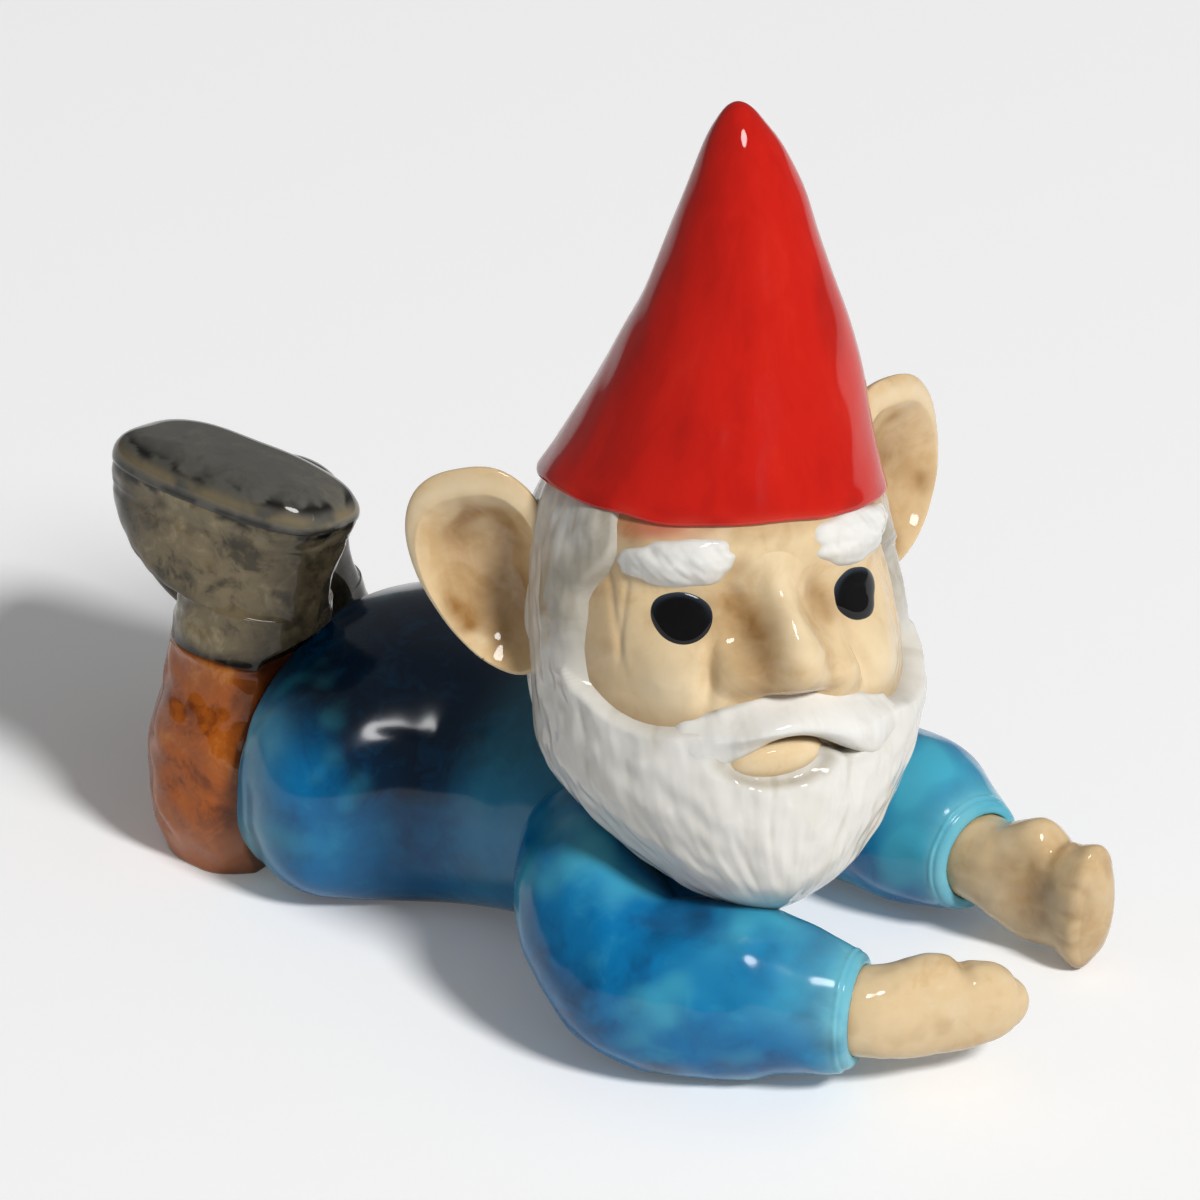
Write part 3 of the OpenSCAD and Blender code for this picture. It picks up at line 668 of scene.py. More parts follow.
GREY = Glaze("grey_glaze", deep=srgb(52, 47, 36), body=srgb(124, 110, 83), pale=srgb(168, 154, 121),
             pooled_and_shaded=srgb(20, 17, 14), thin=srgb(122, 114, 92), stain=srgb(16, 15, 13), scale=330.0,
             deep_share=0.85, pale_share=0.75)
SOLE = Glaze("sole_glaze", deep=srgb(60, 60, 56), body=srgb(88, 87, 81), pale=srgb(114, 109, 95),
             pooled_and_shaded=srgb(34, 33, 30), thin=srgb(128, 114, 86), stain=srgb(18, 17, 16), scale=260.0,
             deep_share=0.5, pale_share=0.5)
FINISHES = (BLUE, SKIN, RED, WHITE, BLACK, AMBER, GREY, SOLE)


@dataclass
class Piece:
    """One piece of the figure, ready to be put into the scene.

    Attributes:
        node: The solid that it stands for.
        skin: Its closed surface.
        glaze: Its finish.
    """

    node: str
    skin: Skin
    glaze: Glaze

    def place(self, materials: dict[str, bpy.types.Material], box: Array) -> bpy.types.Object:
        """Makes the mesh and its object, dresses it and hangs it on the part.

        Args:
            materials: Finished materials by slot.
            box: Lowest and highest corner of the solids, which no point leaves.

        Returns:
            The object, at the origin.
        """
        mesh = bpy.data.meshes.new("glazed_" + self.node)
        points = np.clip(self.skin.points * MM, box[0], box[1])
        mesh.from_pydata(points.tolist(), [], self.skin.quads.tolist() + self.skin.tris.tolist())
        mesh.polygons.foreach_set("use_smooth", np.ones(len(mesh.polygons), bool))
        for mask in Mask:
            values = self.skin.masks.get(mask.value, np.zeros(len(self.skin.points)))
            layer = mesh.attributes.new(mask.value, "FLOAT", "POINT")
            layer.data.foreach_set("value", np.clip(values, 0, 1).astype(np.float32))
        local = self.skin.points if self.skin.local is None else self.skin.local
        layer = mesh.attributes.new("local", "FLOAT_VECTOR", "POINT")
        layer.data.foreach_set("vector", (local * MM).astype(np.float32).ravel())
        mesh.materials.append(materials[self.glaze.slot])
        mesh.update()
        made = bpy.data.objects.new("glazed_" + self.node, mesh)
        bpy.context.scene.collection.objects.link(made)
        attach(made, BODY)
        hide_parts(self.node)
        return made


# The figure


@dataclass(frozen=True)
class Plan:
    """Where the main masses of the figure lie.

    Attributes:
        middle: Place of the waist line in the part's frame.
        hem_y: The hem's distance behind the waist line.
        head_at: Centre of the head.
        head_turn: Turn of the head to its right.
        head_tilt: Lift of the face.
        head_roll: Sideways lean.
        neck_at: A point of the plane between head and chest, in the head's frame.
        neck_slope: Slant of that plane.
        hat_line: Height of the hat's rim in the head's frame.
        chest: Breadth and height of the chest.
        sink: Depth by which resting forms dip under the ground before they are pressed flat.
    """

    middle: tuple[float, float, float] = (1.8, -9.13, 0.0)
    hem_y: float = 24.2
    head_at: tuple[float, float, float] = (-4.656, -4.346, 20.2)
    head_turn: float = 35.0
    head_tilt: float = 12.0
    head_roll: float = 3.0
    neck_at: tuple[float, float, float] = (0.0, 1.5, -8.505)
    neck_slope: float = 45.0
    hat_line: float = 9.6
    chest: tuple[float, float] = (15.6, 13.2)
    sink: float = 0.35

    def figure(self, points: Array) -> Array:
        """Places of the figure in the part's frame."""
        return points + np.array(self.middle)

    def facing(self) -> Array:
        """Rotation of the head without its roll."""
        return turn("z", -self.head_turn) @ turn("x", -self.head_tilt)

    def rolled(self) -> Array:
        """Rotation of the head."""
        return self.facing() @ turn("y", -self.head_roll)

    def head(self, points: Array) -> Array:
        """Places of the head's own frame in the part's frame."""
        return self.figure(np.array(self.head_at) + points @ self.rolled().T)

    def on_ground(self, points: Array) -> Array:
        """Points under the ground pressed flat on it."""
        return settle(points, np.zeros(3), UP)

    def foot(self, points: Array) -> Array:
        """Share of bare clay where a form lies on the ground."""
        return 1.0 - ramp(0.0, 0.06, points[..., 2])

    def behind_waist(self, points: Array) -> Array:
        """Distance of places in the part's frame behind the waist line."""
        return points[..., 1] - self.middle[1]

    def neck_plane(self) -> tuple[Array, Array]:
        """A point of the plane between head and chest, and its normal towards the head."""
        return self.head(np.array(self.neck_at)), self.rolled() @ turn("x", self.neck_slope) @ UP


@dataclass
class Tunic:
    """The blue tunic: one soft barrel from the neck to a rolled hem."""

    plan: Plan
    waist: tuple[float, float] = (17.6, 13.6)
    hip: tuple[float, float] = (24.4, 14.4)
    hem: tuple[float, float] = (21.4, 13.4)
    hip_shift: float = 0.6

    def stations(self) -> Array:
        """Rows of the path with half widths and half heights."""
        y, s, x = self.plan.hem_y, self.plan.sink, -self.hip_shift
        (cw, ch), (ww, wh), (hw, hh), (mw, mh) = self.plan.chest, self.waist, self.hip, self.hem
        z = mh / 2 - s + 0.2
        return np.array([
            [-4.0, -7.2, 8.2, 0.2 * cw, 0.24 * ch],
            [-3.3, -4.4, 8.6, 0.37 * cw, 0.42 * ch],
            [-1.6, 0.8, 0.5 * ch + 1.7, cw / 2, ch / 2],
            [-0.3, y - 17, 0.5 * wh + 0.4, 0.48 * ww, 0.49 * wh],
            [0.0, y - 11, wh / 2 - s, ww / 2, wh / 2],
            [x, y - 5, hh / 2 - s, hw / 2, hh / 2],
            [x, y - 1.2, z, mw / 2 + 0.2, mh / 2 + 0.1],
            [x, y - 0.1, z, mw / 2 - 0.5, mh / 2 - 0.4]])

    def pieces(self) -> list[Piece]:
        """The tunic with its lip of glaze drawn fine at the hem."""
        rings, share = loft(self.stations(), 170, oval(190, 2.0, 4.0), UP, start=1.6)
        cap = drawn_in(rings[-1], np.linspace(0.96, 0.05, 12))
        cap[..., 1] = self.plan.hem_y
        rings = np.concatenate([rings, cap])
        share = np.concatenate([share, np.ones(12)])
        wear = rough(rings, (0.13, 7.5, 3), (0.02, 2.8, 4))
        rings = swell(rings, wear * (1.0 - ramp(0.985, 1.0, share))[:, None])
        origin, way = self.plan.neck_plane()
        rings = settle(self.plan.on_ground(self.plan.figure(rings)), origin, -way)
        y, z = self.plan.behind_waist(rings) - self.plan.hem_y, rings[..., 2]
        cloud = rough(rings, (1.0, 6.0, 11), (0.4, 2.4, 12))
        # Painted shadow of the boots over the saddle by the hem, together with glaze gathered there.
        saddle = ramp(9.0, 13.0, z) * ramp(-15.0, -5.0, y)
        band = bell(y + 1.0, 2.1) * (1 - saddle)
        hips = ramp(-9.5, -5.0, y)
        waist = ramp(-11.5, -15.5, y)
        # Painted shade: deep darkens the tunic's top as the head's shadow; the mask below also darkens a band
        # round the hips and the tunic along the ground.
        deep = mix(ramp(5.5, 10.5, z), ramp(8.5, 12.5, z), hips) * (1 - 0.55 * waist * ramp(13.0, 9.0, z))
        # light: washes in clouds towards the hem, and a painted reflection of the floor as a lighter patch
        # low on the flank.
        light = 0.4 * ramp(0.45, 1.0, cloud) * ramp(-12.0, -4.0, y)
        light = light + 0.4 * bell(y + 4.5, 2.4) * bell(z - 5.0, 0.9)
        masks = {Mask.THIN: 0.9 * band * ramp(1.3, -0.4, cloud),
                 Mask.POOL: 0.95 * deep * (1 - band) + 0.4 * bell(y + 9.5, 3.0) + 0.3 * ramp(1.4, 0.1, z),
                 Mask.STAIN: light + 0.25 * waist, Mask.FOOT: self.plan.foot(rings)}
        return [Piece("tunic", Skin.over(rings, masks), BLUE)]


@dataclass(frozen=True)
class ArmPose:
    """How one arm lies.

    Attributes:
        shoulder: Shoulder as shares of the chest's width, width and height.
        elbow: Way to the elbow in upper arm diameters.
        fore: Way of the forearm over the ground.
        reach: Share of the forearm's length.
        palm: Way of the hand.
        hand: Share of the hand's length.
        palm_share: Half the palm's height as a share of its height.
        tip_share: Height of the fingertips as a share of the palm's.
        hollow_at: Angle round the hand at which the palm is hollow.
        blunt: Share of the hand at which it starts to round off.
    """

    shoulder: tuple[float, float, float]
    elbow: tuple[float, float]
    fore: tuple[float, float]
    reach: float
    palm: tuple[float, float, float]
    hand: float
    palm_share: float
    tip_share: float
    hollow_at: float
    blunt: float


ARM_POSES = {
    Side.RIGHT: ArmPose((-0.55, 0.09, 0.576), (-0.63, -0.81), (3.6, -11.0), 1.0, (8.0, -7.0, -0.8), 1.0,
                        0.46, 0.62, 180.0, 0.5),
    Side.LEFT: ArmPose((0.423, 0.013, 0.636), (0.44, -0.4), (-2.2, -9.6), 0.8, (-0.3, -8.4, -0.9), 0.92,
                       0.6, 0.95, 0.0, 0.76)}


@dataclass
class Arm:
    """One sleeve with its mitten hand, propped on the elbow."""

    plan: Plan
    side: Side
    upper_arm_d: float = 8.6
    elbow_d: float = 9.6
    cuff_d: float = 6.4
    forearm_len: float = 11.8
    hand_len: float = 9.0
    palm_h: float = 6.0
    palm_t: float = 4.2

    @property
    def pose(self) -> ArmPose:
        """How this arm lies."""
        return ARM_POSES[self.side]

    def stations(self) -> Array:
        """Rows of the sleeve's path from shoulder to cuff, with half widths and half heights."""
        pose, upper, bent = self.pose, self.upper_arm_d / 2, self.elbow_d / 2
        chest_w, chest_h = self.plan.chest
        shoulder = np.array(pose.shoulder) * [chest_w, chest_w, chest_h]
        elbow = np.array([*(shoulder[:2] + np.array(pose.elbow) * self.upper_arm_d), bent])
        cuff = elbow + unit([*pose.fore, 0.0]) * self.forearm_len * pose.reach
        cuff[2] = 0.66 * self.cuff_d + 0.4
        rows = [(shoulder, 0.99 * upper, 0.99 * upper),
                (mix(shoulder, elbow, 0.5) + [self.side * 1.1, 0.8, 0.7], upper, upper),
                (elbow, bent, bent),
                (mix(elbow, cuff, 0.5) + [0, 0, 0.2], 0.98 * bent, bent),
                (mix(elbow, cuff, 0.86), 0.58 * self.cuff_d, 0.58 * self.cuff_d),
                (cuff, self.cuff_d / 2, self.cuff_d / 2)]
        return np.array([[*p, w, h] for p, w, h in rows])

    def sleeve(self) -> Piece:
        """The sleeve: a bent limb whose cuff rolls in round the wrist."""
        stations = self.stations()
        lean = np.array([0, 0.3, 1.0])
        rings, share = loft(stations, 160, oval(120), lean, start=0.495 * self.upper_arm_d)
        way = unit(stations[5, :3] - stations[4, :3])
        a = np.radians(np.linspace(12, 90, 8))
        roll = drawn_in(rings[-1], 1 - 0.2 * (1 - np.cos(a)), way, 0.45 * np.sin(a))
        well = drawn_in(rings[-1], (0.77, 0.72, 0.4, 0.08), way, (0.1, -0.3, -0.5, -0.5))
        rings = np.concatenate([rings, roll, well])
        share = np.concatenate([share, np.full(8, 1.0), np.full(4, 1.02)])
        seed = 20 + int(self.side)
        wear = rough(rings, (0.14, 6.0, seed), (0.06, 2.4, seed + 5))
        lip = 0.07 * bell(share - 0.96, 0.03) * (share <= 1)
        rings = swell(rings, wear * (1.0 - 0.75 * ramp(0.93, 0.99, share))[:, None] + lip[:, None])
        rings = self.plan.on_ground(self.plan.figure(rings))
        cloud = rough(rings, (1.0, 7.0, seed + 40), (0.3, 3.0, seed + 41))
        z = rings[..., 2]
        cuff = bell(share - 1.0, 0.12)[:, None]
        # Painted light: lit lightens the top of the forearm where the lamp falls; the mask below adds a
        # painted highlight on top towards the cuff and a painted reflection of the floor along the underside.
        lit = ramp(0.4, 0.75, share)[:, None] * ramp(4.2, 7.0, z)
        masks = {Mask.THIN: 0.85 * cuff * ramp(-1.6, 0.2, cloud) + 0.4 * ramp(1.6, 0.3, z)
                 + 0.5 * ramp(0.62, 0.92, share)[:, None] * ramp(3.0, 6.0, z),
                 Mask.POOL: 0.6 * ramp(-0.3, -0.9, cloud),
                 Mask.STAIN: 0.85 * ramp(0.0, 0.9, cloud) + 0.6 * lit * ramp(-0.9, 0.2, cloud),
                 Mask.FOOT: self.plan.foot(rings)}
        return Piece(f"{self.side.word}_sleeve", Skin.over(rings, masks), BLUE)

    def hand(self) -> Piece:
        """The hand: a mitten with a thumb and a notch on top, a hollow palm and curled fingertips."""
        pose, stations, right = self.pose, self.stations(), self.side is Side.RIGHT
        cuff, wrist, palm = stations[5, :3], unit(stations[5, :3] - stations[4, :3]), unit(pose.palm)
        tip = cuff + pose.hand * palm * self.hand_len
        high, thick, root = pose.palm_share * self.palm_h, self.palm_t / 2, 0.375 * self.cuff_d
        rows = np.array([
            [*cuff, root, root],
            [*(cuff + unit(wrist + palm) * 0.2 * self.hand_len), 0.5 * (thick + root), 1.05 * root],
            [*mix(cuff, tip, 0.52), thick, 0.98 * high],
            [*mix(cuff, tip, 0.78), 0.9 * thick, 0.9 * high],
            [*tip, 0.84 * thick, (pose.tip_share + 0.2) * high]])
        t = np.linspace(0, 1.098, 150)
        s = through(rows, 4 * np.minimum(t, 1.0))
        s[:, :3] += palm * (pose.hand * self.hand_len * np.maximum(t - 1.0, 0.0))[:, None]
        s[:, 3:5] *= np.sqrt(1 - np.clip((t - pose.blunt) / (1.1 - pose.blunt), 0, 1) ** 2.8)[:, None]
        ways = unit(mix(wrist, palm, np.minimum(1.0, 1.8 * t)[:, None]))
        sides = 130
        rings = rings_facing(s[:, :3], s[:, 3:5], ways, UP, oval(sides, 2.3))
        stub = rings[:1] - wrist * np.array([0.5, 0.25])[:, None, None]
        t = np.concatenate([[-0.06, -0.03], t])[:, None]
        rings = np.concatenate([stub, rings])
        a = (360.0 * np.arange(sides) / sides)[None]
        centre = rings.mean(1, keepdims=True)
        height = np.sin(np.radians(a))
        inside = (a - pose.hollow_at + 180.0) % 360.0 - 180.0
        top = bell(a - 90, 42)
        thumb = (0.17 if right else 0.16) * bell(t - 0.42, 0.15) * top
        notch = (0.14 if right else 0.09) * bell(t - 0.63, 0.05) * top
        index = 0.08 * bell(t - 0.86, 0.13) * top * ramp(1.1, 0.95, t)
        sunk = (0.1 if right else 0.22) * bell(t - 0.58, 0.17) * bell(inside, 50)
        curl = (0.04 if right else 0.14) * bell(t - 0.93, 0.12) * bell(inside, 60)
        between = sum(bell(height - h, 0.07) for h in (-0.42, 0.05, 0.5)) * np.abs(np.cos(np.radians(a)))
        between = between * bell(inside, 60)
        fingers = (0.0 if right else 0.05) * ramp(0.74, 0.88, t) * ramp(1.03, 0.98, t) * between
        rings = centre + (rings - centre) * (1 + thumb + index + curl - notch - sunk - fingers)[..., None]
        seed = 60 + int(self.side)
        wear = rough(rings, (0.06, 3.0, seed), (0.025, 1.4, seed + 3))
        rings = swell(rings, wear * ramp(1.1, 1.0, t))
        rings = self.plan.on_ground(self.plan.figure(rings))
        cloud = rough(rings, (1.0, 3.0, seed + 9), (0.4, 1.3, seed + 10))
        # Darker in the palm's hollow, the fingers' grooves and the notch, at the wrist, at the left
        # fingertips and along the ground.
        masks = {Mask.POOL: 2.6 * sunk + 5.0 * fingers + 1.6 * notch + 0.35 * bell(t - 0.02, 0.05)
                 + 0.08 + 0.2 * ramp(0.2, 1.0, cloud) + (0.0 if right else 0.2) * ramp(0.8, 1.0, t)
                 + 0.35 * ramp(1.4, 0.3, rings[..., 2]),
                 Mask.THIN: 0.5 * ramp(0.1, 0.24, thumb) + 0.5 * curl, Mask.FOOT: self.plan.foot(rings)}
        return Piece(f"{self.side.word}_hand", Skin.over(rings, masks), SKIN)

    def pieces(self) -> list[Piece]:
        """The sleeve and its hand."""
        return [self.sleeve(), self.hand()]


@dataclass
class Leg:
    """One leg bent up at the knee: trouser leg, boot and sole."""

    plan: Plan
    side: Side
    leg_x: float
    calf_d: float = 11.2
    ankle_d: float = 8.6
    shin_h: float = 12.4
    boot_len: float = 15.0
    boot_w: float = 7.8
    boot_h: float = 10.6
    sole_t: float = 2.0

    @property
    def knee(self) -> Array:
        """Where the trouser leg stands."""
        back = 0.25 if self.side is Side.RIGHT else 0.14
        return np.array([self.side * self.leg_x, self.plan.hem_y + back * self.calf_d, 0.0])

    @property
    def ankle(self) -> Array:
        """Where trouser leg and boot meet."""
        inwards, back, height = (0.95, 0.25, 1.0) if self.side is Side.RIGHT else (0.6, 0.55, 0.58)
        return np.array([self.side * inwards * self.leg_x, self.plan.hem_y + back * self.calf_d,
                         height * self.shin_h])

    @property
    def outside(self) -> int:
        """Sign along X of the side to which the sole slants down."""
        return -int(self.side)

    @property
    def boot_turn(self) -> Array:
        """Rotation of the boot: pitch, then roll, then turn."""
        pitch, roll, swing = (4, 6, 0) if self.side is Side.RIGHT else (-15, -10, -6)
        return turn("z", swing) @ turn("y", roll) @ turn("x", pitch)

    def boot_place(self, points: Array) -> Array:
        """Places of the boot's own frame in the part's frame."""
        return self.plan.figure(self.ankle + points @ self.boot_turn.T)

    def trouser_leg(self) -> Piece:
        """The trouser leg: a stout column that stands on the knee and rolls over the boot's shaft."""
        y, knee, ankle, c = self.plan.hem_y, self.knee, self.ankle, self.calf_d
        way, neck = self.boot_turn @ UP, 0.3 * self.ankle_d + 0.19 * self.calf_d
        rows = np.array([[*(knee - [0, 0, self.plan.sink]), 0.43 * c, 0.40 * c],
                         [*mix(knee, ankle, 0.27), 0.5 * c, 0.5 * c],
                         [*mix(knee, ankle, 0.58), 0.49 * c, 0.48 * c],
                         [*mix(knee, ankle, 0.83), neck, neck],
                         [*ankle, self.ankle_d / 2, self.ankle_d / 2]])
        t = np.linspace(0, 1, 110)
        s = through(rows, 4 * t)
        ways = unit(mix(UP, way, t[:, None]))
        rings = rings_facing(s[:, :3], s[:, 3:5], ways, BACK, oval(130))
        a = np.radians(np.linspace(15, 90, 8))
        roll = drawn_in(rings[-1], 1 - 0.06 * (1 - np.cos(a)), way, 0.15 * np.sin(a))
        inner = drawn_in(rings[-1], (0.7, 0.35, 0.05), way, 0.1)
        rings = np.concatenate([rings, roll, inner])
        t = np.concatenate([t, np.full(8, 1.0), np.full(3, 1.05)])[:, None]
        seed = 80 + int(self.side)
        wear = rough(rings, (0.18, 5.0, seed), (0.07, 2.2, seed + 4))
        rings = swell(rings, wear * (1 - ramp(0.92, 1.0, t)) + 0.12 * bell(t - 0.96, 0.03) * (t <= 1))
        rings = settle(rings, np.array([0, y - 0.25, 0]), BACK)
        rings = self.plan.on_ground(self.plan.figure(rings))
        back = self.plan.behind_waist(rings) - y
        # Lighter towards the back and the ground; darker in the rolled end and where the leg meets the hem.
        masks = {Mask.THIN: 0.6 * ramp(4.0, 8.0, back) + 0.75 * ramp(4.6, 0.6, rings[..., 2]),
                 Mask.POOL: 0.9 * bell(t - 1.0, 0.03) + 0.7 * ramp(1.2, 0.0, back),
                 Mask.FOOT: self.plan.foot(rings)}
        return Piece(f"{self.side.word}_trouser_leg", Skin.over(rings, masks), AMBER)

    def boot_rows(self, share: Array, instep: Array) -> Array:
        """Level outlines of the boot: the shaft's circle stretched to heel and toe as the instep runs out.

        Args:
            share: Shares of the upper's height.
            instep: How far the instep has run out, from 0 to 1.

        Returns:
            Rings in the boot's own frame.
        """
        r, upper = self.ankle_d / 2, self.boot_h - self.sole_t
        welt = 0.012 * ramp(0.86, 1.0, share)
        heel = mix(r, (0.345 + welt) * self.boot_len, share**2)
        toe = mix(r, (0.62 + welt) * self.boot_len, instep)
        half_w = mix(r, (0.485 + welt) * self.boot_w, share)
        shape = mix(oval(140, 2.1), oval(140, 3.0), ramp(0.3, 1.0, share)[:, None, None])
        x = half_w[:, None] * shape[..., 0]
        y = ((toe - heel) / 2)[:, None] + ((toe + heel) / 2)[:, None] * shape[..., 1]
        return np.stack([x, y, np.broadcast_to((share * upper)[:, None], x.shape)], -1)

    def boot(self) -> Piece:
        """The boot's upper, upside down, with a crease over the instep and a dark welt line."""
        a = np.radians(np.linspace(1, 90, 50))
        share = np.concatenate([np.linspace(-0.02, 0.335, 30), mix(0.34, 0.84, 1 - np.cos(a) ** 0.8),
                                np.linspace(0.85, 1.0, 20)])
        instep = np.concatenate([np.zeros(30), np.sin(a) ** 0.8, np.ones(20)])
        rings = self.boot_rows(share, instep)
        rings = np.concatenate([rings, drawn_in(rings[-1], (0.7, 0.35, 0.05))])
        share = np.concatenate([share, np.ones(3)])[:, None]
        local = rings.copy()
        seed = 100 + int(self.side)
        front = ramp(-1.0, 3.0, local[..., 1])
        crease = (bell(share - 0.2, 0.05) + 0.8 * bell(share - 0.3, 0.04)) * front
        wear = rough(local, (0.14, 4.0, seed), (0.06, 1.7, seed + 2)) - 0.12 * crease
        wear -= 0.08 * bell(share - 0.82, 0.02)
        rings = swell(rings, wear * ramp(1.0, 0.9, share) * ramp(-0.02, 0.06, share))
        rings = self.boot_place(rings)
        hem = self.plan.hem_y + self.plan.middle[1] - 0.2
        rings[..., 1] = np.maximum(rings[..., 1], hem - 3.0 * ramp(12.6, 15.0, rings[..., 2]))
        cloud = rough(local, (1.0, 2.2, seed + 30), (0.5, 1.0, seed + 33))
        dabs = ramp(-0.25, 0.25, cloud)
        patches = ramp(0.75, 1.15, lumps(local, 3.0, seed + 31) + 0.3 * cloud)
        # The boot is darker towards toe and heel.
        ends = 0.75 * ramp(4.5, 8.5, local[..., 1]) + 0.75 * ramp(-1.5, -4.5, local[..., 1])
        masks = {Mask.POOL: 0.95 * bell(share, 0.07) + 0.6 * bell(share - 0.36, 0.06) * front + ends,
                 Mask.STAIN: 0.4 * dabs * bell(share - 0.82, 0.035) + 0.95 * dabs * bell(share - 0.98, 0.03)
                 + 0.6 * patches,
                 Mask.THIN: 0.55 * bell(share - 0.92, 0.05) * ramp(-0.5, 0.3, -cloud)}
        return Piece(f"{self.side.word}_boot", Skin.over(rings, masks, local), GREY)

    def sole(self) -> Piece:
        """The sole: a slab with a steep edge, its height a power curve over the share of its outline."""
        rho = np.cos(np.linspace(0, 0.985, 50) * math.pi / 2)
        height = (self.sole_t + 0.3) * (1 - rho**5) ** 0.4
        shape = oval(150, 3.0)
        x = 0.5 * self.boot_w * rho[:, None] * shape[:, 0]
        y = 0.14 * self.boot_len + 0.5 * self.boot_len * rho[:, None] * shape[:, 1]
        rings = np.stack([x, y, np.broadcast_to(height[:, None], x.shape)], -1)
        bottom = drawn_in(rings[0], (0.05, 0.5, 0.92, 0.985), -UP, (0.1, 0.1, 0.1, 0.06))
        rings = np.concatenate([bottom, rings])
        local = rings.copy()
        seed = 120 + int(self.side)
        slant = 0.06 * (0.5 * self.boot_w + self.outside * local[..., 0])
        worn = 0.06 * lumps(local, 4.5, seed) - 0.06 - slant
        rings = rings + UP * (worn * ramp(-0.1, 1.4, local[..., 2]))[..., None]
        rings = self.boot_place(rings + UP * (self.boot_h - self.sole_t))
        z = local[..., 2]
        cloud = rough(local, (1.0, 2.4, seed + 7), (0.4, 1.0, seed + 8))
        masks = {Mask.STAIN: 0.95 * ramp(-0.5, 0.0, cloud) * bell(z - 0.12, 0.27)
                 + 0.95 * ramp(-0.35, 0.1, cloud) * bell(z - 1.55, 0.27),
                 Mask.THIN: 0.85 * bell(z - 0.85, 0.4) * ramp(0.9, -0.1, cloud)}
        return Piece(f"{self.side.word}_sole", Skin.over(rings, masks, local), SOLE)

    def pieces(self) -> list[Piece]:
        """Trouser leg, boot and sole."""
        return [self.trouser_leg(), self.boot(), self.sole()]


@dataclass(frozen=True)
class FacePair:
    """Places of one side's eye and eyebrow on the face.

    Attributes:
        eye_at: Angle and height of the eye.
        eye_half: Half the eye's breadth in degrees and half its height.
        brow_at: Angle and height of the brow.
        brow_half: Half the brow's breadth in degrees and half its height.
        brow_rise: How much higher the brow's inner end is than its middle.
    """

    eye_at: tuple[float, float]
    eye_half: tuple[float, float]
    brow_at: tuple[float, float]
    brow_half: tuple[float, float]
    brow_rise: float


FACE_PAIRS = {
    Side.RIGHT: FacePair((-34.0, 4.45), (10.8, 1.5), (-34.0, 7.4), (21.5, 1.42), 0.3),
    Side.LEFT: FacePair((34.0, 4.6), (12.0, 1.45), (39.5, 7.8), (25.5, 1.55), 0.15)}


